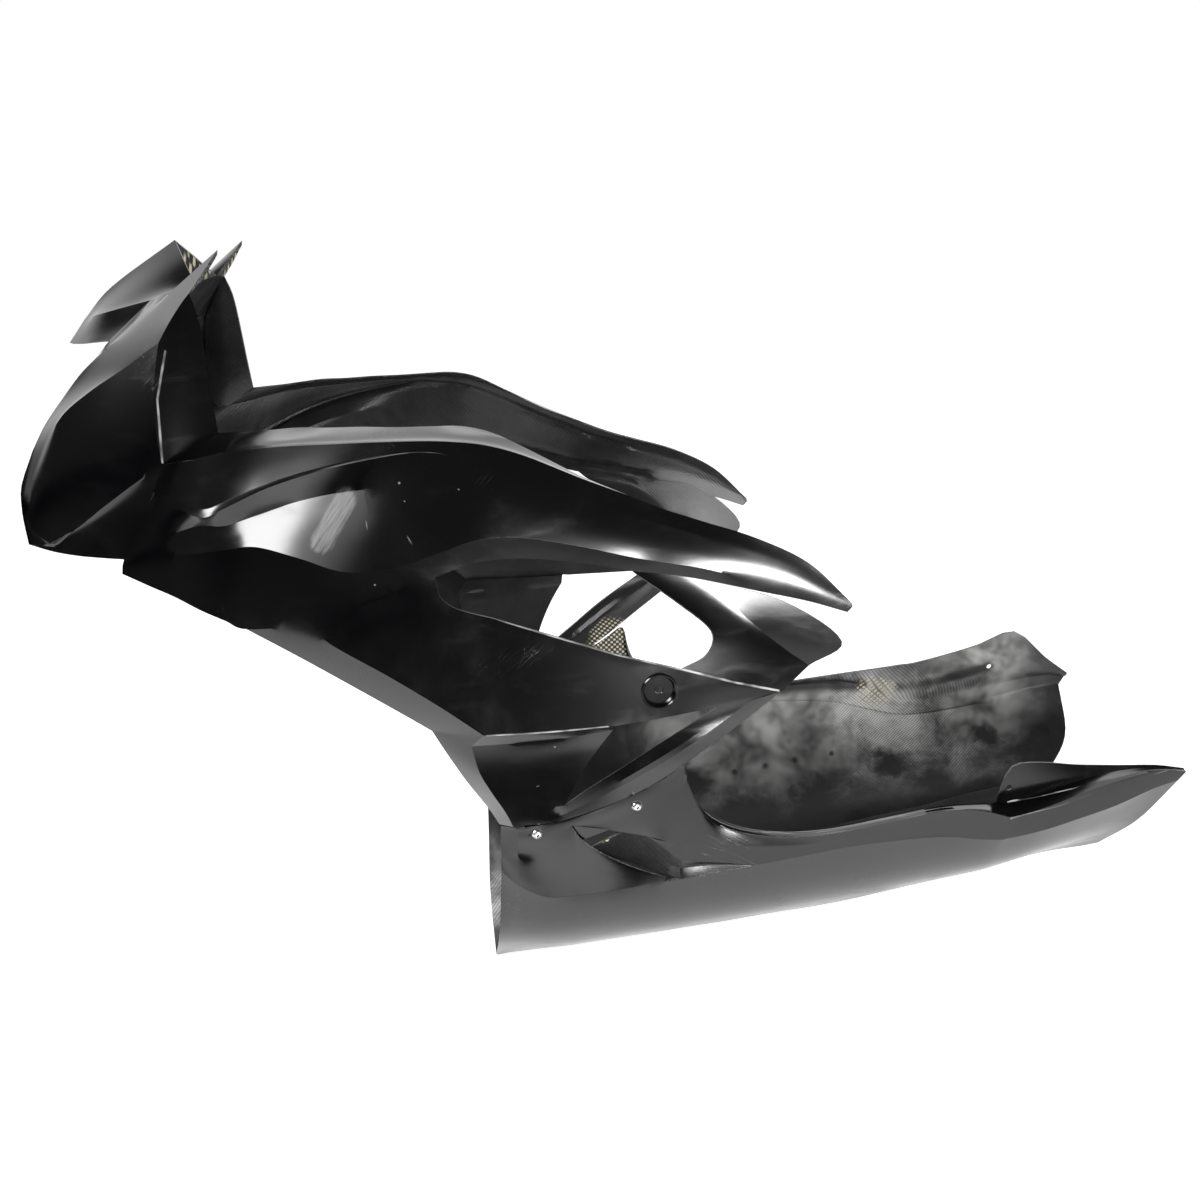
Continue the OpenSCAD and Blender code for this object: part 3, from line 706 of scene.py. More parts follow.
@dataclass(frozen=True)
class BellyPan:
    """The pan under the engine, with its side scoops, the cut-out rims and the two tail tabs."""

    shell: Shell = Shell("belly_pan_skin", (850.0, 195.0, 180.0), (0.0, 1.0, 0.0))
    seam_gap: float = 1.0

    stations = ((446, 182, 194, 187, 160, 0), (462, 198, 199, 193, 146, 2), (490, 201, 203, 199, 134, 4),
                (515, 204, 216, 203, 136, 5), (540, 207, 218, 206, 139, 7), (558, 209, 226, 207, 142, 8.8),
                (575, 211, 234, 208, 144, 10.5), (592, 213, 243, 209, 147, 12.2), (608, 215, 252, 210, 149, 13.8),
                (626, 214, 262, 210, 151, 15.6), (632, 213, 254, 210, 152, 16.2), (642, 208, 230, 210, 153, 17.2),
                (664, 204, 209, 209, 156, 19.4), (700, 201, 194, 208, 160, 23), (750, 199, 187, 206, 166, 29),
                (800, 197, 189, 202, 171, 34), (850, 193, 194, 197, 172, 41), (905, 187, 199, 190, 170, 51),
                (950, 179, 193, 182, 160, 59), (978, 174, 182, 177, 155, 64), (986, 173, 180, 175, 155, 65),
                (1000, 171, 180, 172, 155, 68), (1034, 167, 186, 168, 159, 74), (1074, 162, 195, 163, 167, 81),
                (1120, 156, 205, 157, 177, 87), (1164, 151, 213, 151, 191, 90), (1197, 148, 208, 147, 198, 93))
    front_rim = ((182, 200, 182, 207), (198, 206, 198, 212), (201, 209, 201, 216), (204, 219, 204, 222),
                 (208, 225, 208, 232), (210, 233, 210, 240), (212, 241, 212, 248), (214, 250, 214, 257),
                 (216, 259, 216, 267), (215, 270, 215, 278), (207, 253, 201, 252), (202, 230, 196, 229),
                 (198, 210, 192, 209))
    left_rim = (*front_rim, (195, 196, 189, 195), (193, 189, 187, 188), (191, 191, 185, 190), (187, 196, 181, 195),
                (181, 201, 175, 200), (169, 194, 163, 194), (156, 184, 149, 186), (142, 181, 141, 190),
                (141, 181, 140, 222), (140, 187, 138, 224), (140, 200, 138, 219), (142, 211, 140, 217),
                (145, 214, 143, 216), (144, 209, 142, 210))
    right_rim = (*front_rim, (195, 196, 189, 196), (193, 190, 187, 192), (191, 194, 185, 198), (187, 200, 181, 206),
                 (181, 206, 175, 215), (171, 205, 165, 224), (164, 200, 157, 231), (160, 199, 154, 233),
                 (156, 199, 151, 237), (150, 204, 147, 247), (146, 210, 143, 260), (145, 214, 142, 276),
                 (145, 216, 142, 240), (144, 211, 142, 216))
    left_rake = (1.0, 1.0)
    right_rake = (0.2, 0.8)
    tab_holes = (Bore(998.0, 198.0, 6.5, 120.0, 160.0, Side.LEFT), Bore(1092.0, 228.0, 6.5, 124.0, 164.0, Side.RIGHT))
    scoop_tip: int = 3
    scoop_lip_end: int = 8
    scoop_end: int = 9
    groove_end: int = 13
    ridge_end: int = 15
    cutout_start: int = 13
    rim_rise: float = 3.0

    @staticmethod
    def rake(i: int, depth: float) -> float:
        """Gives how far the front and the tail are cut back towards the bottom."""
        return -62 * depth * max(0.0, (i - 21) / 5) - 4 * depth * max(0.0, 1 - i / 2)

    @staticmethod
    def upright(i: int) -> float:
        """Gives how far the wall's top stands out beside the cut-out, where the wall is upright."""
        return max(0.0, min(7.0, (i - 11) * 3.5, 7.0 - (i - 14) * 0.9))

    def rise(self, i: int, room: float) -> float:
        """Gives how far the wall's top is raised beside the cut-out, within the room under the rim."""
        return 0 if i < self.cutout_start else max(0, min(self.rim_rise, room))

    def lines(self, rim: Sequence[Triple]) -> list[Rail]:
        """Gives the rows of one side, from the free edge round to the keel.

        Args:
            rim: The half width and height of the rim and of its free edge at each station.

        Returns:
            The free edge, the rim, the wall's top, the crease, two rows of the bottom and the keel.
        """
        bow, keel = self.right_rake if rim is self.right_rim else self.left_rake
        raw: list[list[Triple]] = [[] for _ in range(7)]
        for i, ((x, top, top_z, crease, crease_z, low), (y, z, edge, edge_z)) in enumerate(zip(self.stations, rim)):
            out, wall_z = self.upright(i), top_z - self.seam_gap
            for line, point in zip(raw, (
                    (x, edge + out, edge_z), (x, y + out, z), (x, top + out, wall_z + self.rise(i, z - 0.8 - wall_z)),
                    (x + self.rake(i, 0.12), crease, crease_z),
                    (x + self.rake(i, 0.5) * bow, 0.8 * crease, low + (crease_z - low) * 0.42),
                    (x + self.rake(i, 0.92) * keel, 85, low), (x + self.rake(i, 1), 0, low))):
                line.append(point)
        return [curve(line, 1) for line in raw]

    def ridge(self, rim: Rail, crease: Rail) -> Rail:
        """Draws the soft ridge that runs back from the scoop's mouth along the wall.

        Args:
            rim: The wall's upper rail.
            crease: The body crease at the wall's foot.

        Returns:
            The ridge's rail.
        """
        last = self.ridge_end * FINE
        return curve([(590, 211, 202), (606, 213, 198), (622, 212, 195), (640, 212, 191), (658, 211.5, 188),
                      (678, 210.5, 185), (700, 209.5, 182), (728, 208, 179), (760, 206, 178),
                      (rim[last] + crease[last]) / 2], 1)

    def scooped_wall(self, rim: Rail, crease: Rail) -> list[Grid]:
        """Draws the side wall with the scoop's mouth, the groove behind it and, last, its woven ramp.

        Args:
            rim: The wall's upper rail.
            crease: The body crease at the wall's foot.

        Returns:
            The patches of the wall.
        """
        tip, lip_end = rim[self.scoop_tip * FINE], (610, 213, 156)
        lip = curve([tip, (523, 206, 201), (539, 208, 188), (558, 210, 177), (582, 212, 166), lip_end], 1)
        upper = curve([tip, (540, 207, 212), (566, 209, 207), (590, 211, 202)], 1)
        ridge = self.ridge(rim, crease)
        rear = curve([(590, 211, 202), (603, 212, 192), (615, 212, 181), (626, 211, 172)], 1)
        groove_top = curve([(626, 211, 172), (642, 210, 170), (662, 209, 167), (682, 208, 164),
                            crease[self.groove_end * FINE]], 1)
        groove = curve([(625, 206, 161), (640, 206, 162), (660, 206, 162), (681, 207, 161),
                        crease[self.groove_end * FINE]], 1)
        groove_foot = part(crease, self.scoop_end, self.groove_end)
        ramp_foot = curve([(536, 197, 186), (556, 193, 172), (580, 191, 162), (606, 199, 154), groove_foot[0]], 1)
        return [
            span(part(rim, 0, self.scoop_tip) + lip[1:], part(crease, 0, self.scoop_lip_end),
                 straight(rim[0], crease[0], 4), straight(lip_end, crease[self.scoop_lip_end * FINE], 4)),
            span(part(rim, self.scoop_tip, self.ridge_end), upper + ridge[1:], held(tip, 2),
                 straight(rim[self.ridge_end * FINE], ridge[-1], 2)),
            span(ridge, rear + groove_top[1:] + part(crease, self.groove_end, self.ridge_end)[1:], held(ridge[0], 2),
                 straight(ridge[-1], crease[self.ridge_end * FINE], 2)),
            rows([groove_top, groove, groove_foot], 1),
            rows([part(rim, self.ridge_end, 26), part(crease, self.ridge_end, 26)], 4),
            span(part(upper, 2, 3) + rear[1:], ramp_foot, straight(upper[2 * FINE], ramp_foot[0], 2),
                 curve([groove_top[0], groove[0], groove_foot[0]], 1)),
        ]

    def side(self, rim: Sequence[Triple]) -> list[Grid]:
        """Draws one side of the pan, as seen on the right.

        Args:
            rim: That side's rim.

        Returns:
            The patches, with the woven ramp last.
        """
        r = self.lines(rim)
        return [rows([r[0], r[1]], 1), rows([r[1], r[2]], 1), rows([r[3], r[4], r[5]]), rows([r[5], r[6]], 2),
                *self.scooped_wall(r[2], r[3])]

    @staticmethod
    def is_right_tail_wall(place: Vector) -> bool:
        """Tells whether a place is on the right tail's wall, whose creases flow away."""
        return place.x > 0.3 and place.y > 0.1 and place.z > 0.17

    def build(self, bores: Sequence[Bore], finishes: Materials) -> bpy.types.Object:
        """Moulds the pan and drills it.

        Args:
            bores: The holes for the joint screws.
            finishes: Gelcoat, cloth and trimmed rim.

        Returns:
            The finished skin.
        """
        right, left = self.side(self.right_rim), [mirrored(grid) for grid in self.side(self.left_rim)]
        skin = self.shell.weld(right[:-1] + left[:-1], (right[-1], left[-1]), finishes)
        lines = self.lines(self.right_rim)
        ridge = self.ridge(lines[2], lines[3])
        ridges = [ridge, *mirrored([ridge])]
        self.shell.fair(skin, ridges, self.is_right_tail_wall)
        self.shell.thicken(skin)
        drill(skin, [*bores, *self.tab_holes])
        finish_shading(skin)
        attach(skin, "root")
        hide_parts("belly_pan")
        return skin


Number = Union["Value", float]


class Value:
    """A number in a material, whose arithmetic adds Math nodes."""

    def __init__(self, paint: "Paint", out: bpy.types.NodeSocket) -> None:
        """Keeps the paint that the number belongs to and the socket that gives it."""
        self.paint = paint
        self.out = out

    def __add__(self, other: Number) -> "Value":
        """Adds."""
        return self.paint.maths("ADD", self, other)

    def __radd__(self, other: Number) -> "Value":
        """Adds to a plain number."""
        return self.paint.maths("ADD", other, self)

    def __sub__(self, other: Number) -> "Value":
        """Subtracts."""
        return self.paint.maths("SUBTRACT", self, other)

    def __rsub__(self, other: Number) -> "Value":
        """Subtracts from a plain number."""
        return self.paint.maths("SUBTRACT", other, self)

    def __mul__(self, other: Number) -> "Value":
        """Multiplies."""
        return self.paint.maths("MULTIPLY", self, other)

    def __rmul__(self, other: Number) -> "Value":
        """Multiplies a plain number."""
        return self.paint.maths("MULTIPLY", other, self)

    def clear(self) -> "Value":
        """Holds the number between 0 and 1."""
        return self.paint.maths("ADD", self, 0.0, use_clamp=True)

    def size(self) -> "Value":
        """Drops the sign."""
        return self.paint.maths("ABSOLUTE", self)

    def wave(self) -> "Value":
        """Takes the sine."""
        return self.paint.maths("SINE", self)

    def most(self, other: Number) -> "Value":
        """Takes the larger of two numbers."""
        return self.paint.maths("MAXIMUM", self, other)

    def between(self, low: float, high: float) -> "Value":
        """Rises smoothly from 0 at one limit to 1 at the other.

        Args:
            low: The number that gives 0.
            high: The number that gives 1.

        Returns:
            The new number.
        """
        node = self.paint.node("ShaderNodeMapRange", {"interpolation_type": "SMOOTHSTEP"},
                               {"Value": self, "From Min": low, "From Max": high})
        return Value(self.paint, node.outputs[0])


class Paint:
    """A material under way, with its node tree."""

    def __init__(self, tree: bpy.types.NodeTree) -> None:
        """Empties the tree that is painted in."""
        self.tree = tree
        tree.nodes.clear()

    def node(self, kind: str, settings: Optional[dict[str, Any]] = None,
             inputs: Optional[dict[Any, Any]] = None) -> bpy.types.Node:
        """Adds a node.

        Args:
            kind: The node's type.
            settings: Its own settings, set before its sockets.
            inputs: Values or links for its sockets, by name or number.

        Returns:
            The node.
        """
        made = self.tree.nodes.new(kind)
        for key, value in (settings or {}).items():
            setattr(made, key, value)
        for key, value in (inputs or {}).items():
            socket = made.inputs[key]
            if isinstance(value, Value):
                self.tree.links.new(value.out, socket)
            elif isinstance(value, bpy.types.NodeSocket):
                self.tree.links.new(value, socket)
            else:
                socket.default_value = value
        return made

    def maths(self, operation: str, first: Number, second: Number = 0.0, use_clamp: bool = False) -> Value:
        """Adds one Math node.

        Args:
            operation: The node's operation.
            first: Its first number.
            second: Its second number.
            use_clamp: Whether the result stays between 0 and 1.

        Returns:
            The result.
        """
        settings = {"operation": operation, "use_clamp": use_clamp}
        return Value(self, self.node("ShaderNodeMath", settings, {0: first, 1: second}).outputs[0])

    def place(self) -> tuple[Value, Value, Value, bpy.types.NodeSocket]:
        """Reads the place on the piece, in metres.

        Returns:
            Its three numbers, and the place itself.
        """
        coordinates = self.node("ShaderNodeTexCoord").outputs["Object"]
        parts = self.node("ShaderNodeSeparateXYZ", inputs={0: coordinates})
        x, y, z = (Value(self, out) for out in parts.outputs)
        return x, y, z, coordinates

    def grain(self, where: Any, scale: float, detail: float = 3.0, roughness: float = 0.5,
              warp: float = 0.0) -> Value:
        """Adds a noise.

        Args:
            where: The place that it is read at.
            scale: Its scale, in waves a metre.
            detail: Its number of finer layers.
            roughness: The strength of the finer layers.
            warp: Its distortion.

        Returns:
            The noise, about 0.5.
        """
        made = self.node("ShaderNodeTexNoise", {"noise_dimensions": "3D"},
                         {"Vector": where, "Scale": scale, "Detail": detail, "Roughness": roughness,
                          "Distortion": warp})
        return Value(self, made.outputs["Fac"] if "Fac" in made.outputs else made.outputs[0])

    def turned(self, where: Any, angles: Triple = (0, 0, 0), scale: Triple = (1, 1, 1),
               shift: Triple = (0, 0, 0)) -> bpy.types.NodeSocket:
        """Turns, shifts and stretches the place that a pattern is read at.

        Args:
            where: The place on the piece.
            angles: The turn about each axis.
            scale: How much finer the pattern is along each turned axis.
            shift: The shift, in metres.

        Returns:
            The new place.
        """
        made = self.node("ShaderNodeMapping", {"vector_type": "TEXTURE"},
                         {"Vector": where, "Location": shift, "Rotation": angles,
                          "Scale": tuple(1 / share for share in scale)})
        return made.outputs[0]

    def warped(self, where: Any, scale: float, reach: float) -> bpy.types.NodeSocket:
        """Shakes the place that a pattern is read at.

        Args:
            where: The place on the piece.
            scale: The scale of the shaking.
            reach: Twice the furthest shift, in metres.

        Returns:
            The new place.
        """
        noise = self.node("ShaderNodeTexNoise", {"noise_dimensions": "3D"},
                          {"Vector": where, "Scale": scale, "Detail": 5.0, "Roughness": 0.6}).outputs["Color"]
        shift = self.vector("SCALE", self.vector("SUBTRACT", noise, (0.5, 0.5, 0.5)).outputs[0], scale=reach)
        return self.vector("ADD", where, shift.outputs[0]).outputs[0]

    def blend(self, amount: Number, first: Any, second: Any) -> bpy.types.NodeSocket:
        """Mixes two colours.

        Args:
            amount: The share of the second.
            first: The first colour.
            second: The second colour.

        Returns:
            The mixed colour.
        """
        made = self.node("ShaderNodeMix", {"data_type": "RGBA", "clamp_factor": True}, {
            "Factor": amount, 6: first if not isinstance(first, tuple) else (*first, 1.0),
            7: second if not isinstance(second, tuple) else (*second, 1.0)})
        return made.outputs[2]

    def relief(self, height: Value, strength: float, distance: float,
               under: Optional[bpy.types.NodeSocket] = None) -> bpy.types.NodeSocket:
        """Turns a height into a bumped normal.

        Args:
            height: The height, from 0 to 1.
            strength: The strength of the bump.
            distance: The height of 1, in metres.
            under: A normal that the bump lies on.

        Returns:
            The normal.
        """
        inputs: dict[Any, Any] = {"Strength": strength, "Distance": distance, "Height": height}
        if under is not None:
            inputs["Normal"] = under
        return self.node("ShaderNodeBump", inputs=inputs).outputs[0]

    def vector(self, operation: str, first: Any, second: Any = (0, 0, 0), scale: Number = 1.0) -> bpy.types.Node:
        """Adds one Vector Math node.

        Args:
            operation: The node's operation.
            first: Its first vector.
            second: Its second vector, which a scaling leaves out.
            scale: The factor of a scaling.

        Returns:
            The node.
        """
        inputs = {0: first, 1: second} if operation != "SCALE" else {0: first, "Scale": scale}
        return self.node("ShaderNodeVectorMath", {"operation": operation}, inputs)

    def spot(self, where: Any, centre: Triple, reach: float, soft: float = 0.5) -> Value:
        """Marks a round patch.

        Args:
            where: The place on the piece.
            centre: The middle of the patch, in millimetres from the nose.
            reach: Its radius, in millimetres.
            soft: The share of the radius over which it fades.

        Returns:
            1 in the patch and 0 outside it.
        """
        distance = Value(self, self.vector("DISTANCE", where, in_row(centre)).outputs["Value"])
        return 1.0 - distance.between(reach * MM * (1 - soft), reach * MM)

    def spots(self, where: Any, places: Sequence[tuple[Triple, float]], soft: float = 0.5) -> Value:
        """Marks several round patches.

        Args:
            where: The place on the piece.
            places: The centre and the reach of each patch.
            soft: The share of the radius over which each fades.

        Returns:
            1 in a patch and 0 outside all of them.
        """
        total = self.spot(where, places[0][0], places[0][1], soft)
        for centre, reach in places[1:]:
            total = total.most(self.spot(where, centre, reach, soft))
        return total

    def stroke(self, where: Any, start: Triple, end: Triple, width: float) -> Value:
        """Marks a straight scratch.

        Args:
            where: The place on the piece.
            start: The scratch's start, in millimetres from the nose.
            end: Its end.
            width: Its half width, in millimetres.

        Returns:
            1 on the scratch and 0 off it.
        """
        a, along = in_row(start), in_row(end) - in_row(start)
        offset = self.vector("SUBTRACT", where, a).outputs[0]
        dot = Value(self, self.vector("DOT_PRODUCT", offset, along).outputs["Value"])
        foot = self.vector("SCALE", tuple(along), scale=(dot * (1 / along.length_squared)).clear()).outputs[0]
        distance = Value(self, self.vector("DISTANCE", offset, foot).outputs["Value"])
        return 1.0 - distance.between(width * MM * 0.3, width * MM)

    def strokes(self, where: Any, lines: Sequence[Sequence[Triple]], width: float) -> Value:
        """Marks scratches that each run through several places.

        Args:
            where: The place on the piece.
            lines: The places of each scratch, in millimetres from the nose.
            width: Their half width, in millimetres.

        Returns:
            1 on a scratch and 0 off all of them.
        """
        pairs = [pair for line in lines for pair in zip(line, line[1:])]
        total = self.stroke(where, *pairs[0], width)
        for start, end in pairs[1:]:
            total = total.most(self.stroke(where, start, end, width))
        return total

    def surface(self, **inputs: Any) -> None:
        """Adds the main shader and the material's output.

        Args:
            inputs: The shader's inputs, with underscores for spaces.
        """
        named = {key.replace("_", " "): value for key, value in inputs.items()}
        shader = self.node("ShaderNodeBsdfPrincipled", inputs=named)
        self.node("ShaderNodeOutputMaterial", inputs={"Surface": shader.outputs[0]})


def new_paint(name: str) -> tuple[bpy.types.Material, Paint]:
    """Makes an empty material.

    Args:
        name: The material's name.

    Returns:
        The material, and the paint that fills it.
    """
    material = bpy.data.materials.new(name)
    material.use_nodes = True
    return material, Paint(material.node_tree)


@dataclass(frozen=True)
class Gelcoat:
    """Black gelcoat, with the smudges, scratches, scuff and chips of a used race fairing, and painted highlights:
    thin bright lines along some creases and edges.
    """

    name: str = "black_gelcoat"
    colour: tuple[float, float, float] = (0.0016, 0.0016, 0.0019)
    smudged: tuple[float, float, float] = (0.0065, 0.0065, 0.0062)
    worn: tuple[float, float, float] = (0.16, 0.16, 0.155)
    gloss: float = 0.17
    chips: tuple[tuple[Triple, float], ...] = (
        ((362, -222, 570), 2.2), ((366, -229, 555), 1.6), ((414, -231, 565), 1.8), ((550, -181, 92), 2.0),
        ((524, -188, 105), 1.6), ((496, -242, 317), 2.4), ((337, -243, 483), 1.8), ((346, -245, 484), 1.4),
        ((580, -252, 382), 1.6), ((244, 205, 560), 2.0), ((640, 212, 232), 1.8))
    cuts: tuple[tuple[Triple, Triple], ...] = (
        ((331, -226, 540), (336, -238, 505)), ((366, -239, 528), (374, -243, 514)),
        ((492, -222, 276), (470, -224, 262)), ((610, -238, 388), (634, -236, 380)),
        ((700, -222, 470), (716, -221, 458)), ((860, -192, 182), (884, -190, 181)))
    scuff: tuple[Triple, Triple, float] = ((291, -226, 520), (313, -217, 556), 15.0)
    # Painted highlights: thin bright lines along the nose's crease, two tail creases, the knee line and the middle
    # panel's top edge.
    edges: tuple[tuple[Triple, ...], ...] = (
        ((157, -141, 679), (148, -153, 638), (149, -162, 582)),
        ((998, -141, 181), (1022, -143, 184), (1070, -150, 198), (1100, -143, 211)),
        ((988, -174, 178), (1045, -167, 185), (1101, -160, 199), (1173, -151, 212)),
        ((432, -254.5, 337.5), (490, -255, 338), (545, -252, 339.5)),
        ((446, -252, 449), (497, -254, 431), (555, -252, 410), (616, -243, 390), (668, -234, 371), (715, -223, 356)))
    # The colour of the painted highlight lines.
    bright: tuple[float, float, float] = (0.5, 0.5, 0.49)
    cut_width: float = 0.7
    highlight_line_width: float = 1.5

    def material(self) -> bpy.types.Material:
        """Mixes the finish.

        Returns:
            The material.
        """
        material, paint = new_paint(self.name)
        where = paint.place()[3]
        smudge = paint.grain(where, 6.0, 5.0, 0.62, 0.4)
        film = paint.grain(paint.turned(where, scale=(3.0, 3.0, 9.0)), 5.0, 4.0, 0.6, 0.8)
        ragged = paint.grain(where, 700.0, 2.0) * 1.4
        chipped = (paint.spots(where, self.chips, 0.9) * ragged).between(0.3, 0.6)
        marks = (self.hairs(paint, where) * 0.35).most(chipped * 0.7)
        marks = marks.most(paint.strokes(where, self.cuts, self.cut_width) * 0.6)
        marks = marks.most(self.rubbed(paint, where) * 0.55)
        tone = paint.blend(smudge.between(0.5, 0.8) * 0.4, self.colour, self.smudged)
        colour = paint.blend(marks, tone, self.worn)
        # Painted highlights: bright lines along the listed creases and edges, broken up by a noise.
        edge = paint.strokes(where, self.edges, self.highlight_line_width)
        highlight_breakup = paint.grain(where, 45.0, 2.0).between(0.36, 0.62)
        colour = paint.blend(edge * (highlight_breakup * 0.5 + 0.15), colour, self.bright)
        rough = self.gloss + smudge.between(0.46, 0.8) * 0.14 + film.between(0.5, 0.8) * 0.08
        rough = (rough + marks * 0.3).clear()
        ripple = paint.relief(paint.grain(where, 7.0, 1.0), 0.1, 0.003)
        peel = paint.relief(paint.grain(where, 420.0, 2.0), 0.02, 0.0005, ripple)
        normal = paint.relief(marks, 0.2, 0.0003, peel)
        paint.surface(Base_Color=colour, Roughness=rough, Normal=normal, Specular_IOR_Level=0.5)
        return material

    def hairs(self, paint: Paint, where: Any) -> Value:
        """Draws two sets of short hairlines that come and go.

        Args:
            paint: The gelcoat's paint.
            where: The place on the piece.

        Returns:
            1 on a hairline and 0 off all of them.
        """
        sets = (((0.3, 0.5, 0.2), (5.0, 60.0, 230.0), 6.0), ((-0.2, -0.75, 0.6), (4.0, 90.0, 260.0), 9.0))
        lines = [1.0 - (paint.grain(paint.turned(where, angles, scale), 1.0, 1.0) - 0.5).size().between(0.0, 0.004)
                 for angles, scale, _ in sets]
        shown = [paint.grain(where, near, 1.0).between(0.64, 0.7) for _, _, near in sets]
        return (lines[0] * shown[0]).most(lines[1] * shown[1])

    def rubbed(self, paint: Paint, where: Any) -> Value:
        """Rubs one patch of the left swell with fine slanting strokes.

        Args:
            paint: The gelcoat's paint.
            where: The place on the piece.

        Returns:
            How strongly the patch is rubbed.
        """
        start, end, reach = self.scuff
        patch = paint.stroke(paint.warped(where, 60.0, 0.008), start, end, reach)
        strokes = paint.grain(paint.turned(where, (0, 0.6, 0), (2200.0, 90.0, 30.0)), 1.0, 1.0)
        return patch.between(0.0, 0.8) * (strokes.between(0.42, 0.56) * 0.75 + 0.2)


@dataclass(frozen=True)
class Cloth:
    """The bare inner side: woven cloth under clear resin, blotched, darker in patches and dimpled, with painted light
    in the lit places and painted shade under the far rim and in the dimples.
    """

    name: str = "woven_laminate"
    thread: float = 4.0
    coarse_thread: float = 7.0
    gloss: float = 0.3
    dark: tuple[float, float, float] = (0.012, 0.012, 0.012)
    pale: tuple[float, float, float] = (0.5, 0.5, 0.49)
    # The colour that the blotches and the painted light brighten the cloth towards.
    dry: tuple[float, float, float] = (0.5, 0.46, 0.33)
    dry_places: tuple[tuple[Triple, float], ...] = (
        ((155, 38, 742), 30), ((189, 100, 744), 24), ((612, 214, 262), 34), ((956, 178, 190), 30),
        ((545, -203, 205), 14), ((505, -206, 232), 22))
    # Darker patches, low on the pan's inside.
    dark_patches: tuple[tuple[Triple, float], ...] = (
        ((967, 135, 102), 34), ((1092, 133, 138), 26), ((864, 105, 60), 60), ((771, 107, 48), 66),
        ((690, 150, 90), 60), ((1010, 100, 90), 50))
    # Painted shade: dark bands on the inside of the pan's far wall, just under its rim.
    shaded_rim: tuple[tuple[Triple, Triple, float], ...] = (
        ((780, 198, 190), (932, 185, 199), 17), ((984, 170, 200), (1045, 153, 215), 14),
        ((1045, 153, 215), (1090, 147, 228), 12))
    # Dimples: bumped, and darkened as painted shade in their hollows.
    dimples: tuple[tuple[Triple, float], ...] = (
        ((766, 160, 93), 6), ((806, 159, 100), 6), ((845, 159, 106), 6), ((893, 157, 113), 5))
    # Painted light: pale pools on the inside of the pan's far wall and low down at its front.
    lit_places: tuple[tuple[Triple, float], ...] = (
        ((905, 178, 160), 130), ((800, 178, 140), 120), ((1060, 150, 185), 130), ((1090, 143, 250), 70),
        ((720, 180, 130), 110), ((980, 165, 150), 110), ((450, 85, 20), 90), ((448, 20, 5), 60))

    def weave(self, paint: Paint, parts: Sequence[Value], thread: float) -> Value:
        """Crosses the warp and the weft.

        Args:
            paint: The cloth's paint.
            parts: The three numbers of the place.
            thread: The weave's pitch, in millimetres.

        Returns:
            The height of the weave, from 0 to 1.
        """
        pitch = math.tau / (thread * MM)
        over = ((parts[0] + parts[1] * 0.3) * pitch).wave()
        under = ((parts[2] + parts[1] * 0.7) * pitch).wave()
        return over * under * 0.5 + 0.5

    def material(self) -> bpy.types.Material:
        """Mixes the finish.

        Returns:
            The material.
        """
        material, paint = new_paint(self.name)
        x, y, z, where = paint.place()
        fine = self.weave(paint, (x, y, z), self.thread)
        coarse = self.weave(paint, (x, y, z), self.coarse_thread)
        blotch = paint.grain(where, 15.0, 8.0, 0.7, 0.3)
        cloud = paint.grain(paint.turned(where, shift=(3.0, 1.0, 2.0)), 14.0, 5.0, 0.65, 0.7)
        shaken = paint.warped(where, 18.0, 0.06)
        # The dark patches, joined by the painted shade of the bands under the far rim.
        patches_and_painted_shade = (paint.spots(shaken, self.dark_patches, 0.9) + (cloud - 0.5) * 2.2).between(0.2, 0.8) * 0.94
        frayed = paint.warped(where, 40.0, 0.008)
        for start, end, reach in self.shaded_rim:
            patches_and_painted_shade = patches_and_painted_shade.most(paint.stroke(frayed, start, end, reach) * 0.92)
        dimple = paint.spots(where, self.dimples, 0.7)
        # Painted light: the lit places brighten the cloth towards the pale colour.
        lit = paint.spots(shaken, self.lit_places, 0.9)
        blotch_and_painted_light = blotch.between(0.34, 0.72) * (0.03 + lit * 0.8) * (0.4 + fine * 1.2) + lit * fine * 0.2
        # The dark patches and the painted shade darken it, and the dimples too, as painted shade in their hollows.
        blotch_and_painted_light = (blotch_and_painted_light * (1.0 - patches_and_painted_shade.most(dimple * 0.8))).clear()
        colour = paint.blend(blotch_and_painted_light, self.dark, self.pale)
        dry = paint.spots(paint.warped(where, 40.0, 0.03), self.dry_places, 0.4)
        colour = paint.blend(dry * coarse.between(0.45, 0.85), colour, self.dry)
        rough = (self.gloss + patches_and_painted_shade * 0.3 + dry * 0.3).clear()
        bumps = paint.relief(dimple, 0.5, 0.002, paint.relief(blotch, 0.25, 0.004))
        normal = paint.relief(fine * (1.0 - dry) + coarse * dry * 1.6, 0.3, 0.0004, bumps)
        paint.surface(Base_Color=colour, Roughness=rough, Normal=normal, Specular_IOR_Level=0.28)
        return material


@dataclass(frozen=True)
class TrimmedEdge:
    """The cut edge of the laminate."""

    name: str = "trimmed_edge"
    dark: tuple[float, float, float] = (0.03, 0.03, 0.03)
    rubbed: tuple[float, float, float] = (0.11, 0.11, 0.105)

    def material(self) -> bpy.types.Material:
        """Mixes the finish.

        Returns:
            The material.
        """
        material, paint = new_paint(self.name)
        rub = paint.grain(paint.place()[3], 300.0, 2.0)
        colour = paint.blend(rub.between(0.4, 0.7), self.dark, self.rubbed)
        paint.surface(Base_Color=colour, Roughness=0.38 + rub * 0.2, Normal=paint.relief(rub, 0.2, 0.0003))
        return material


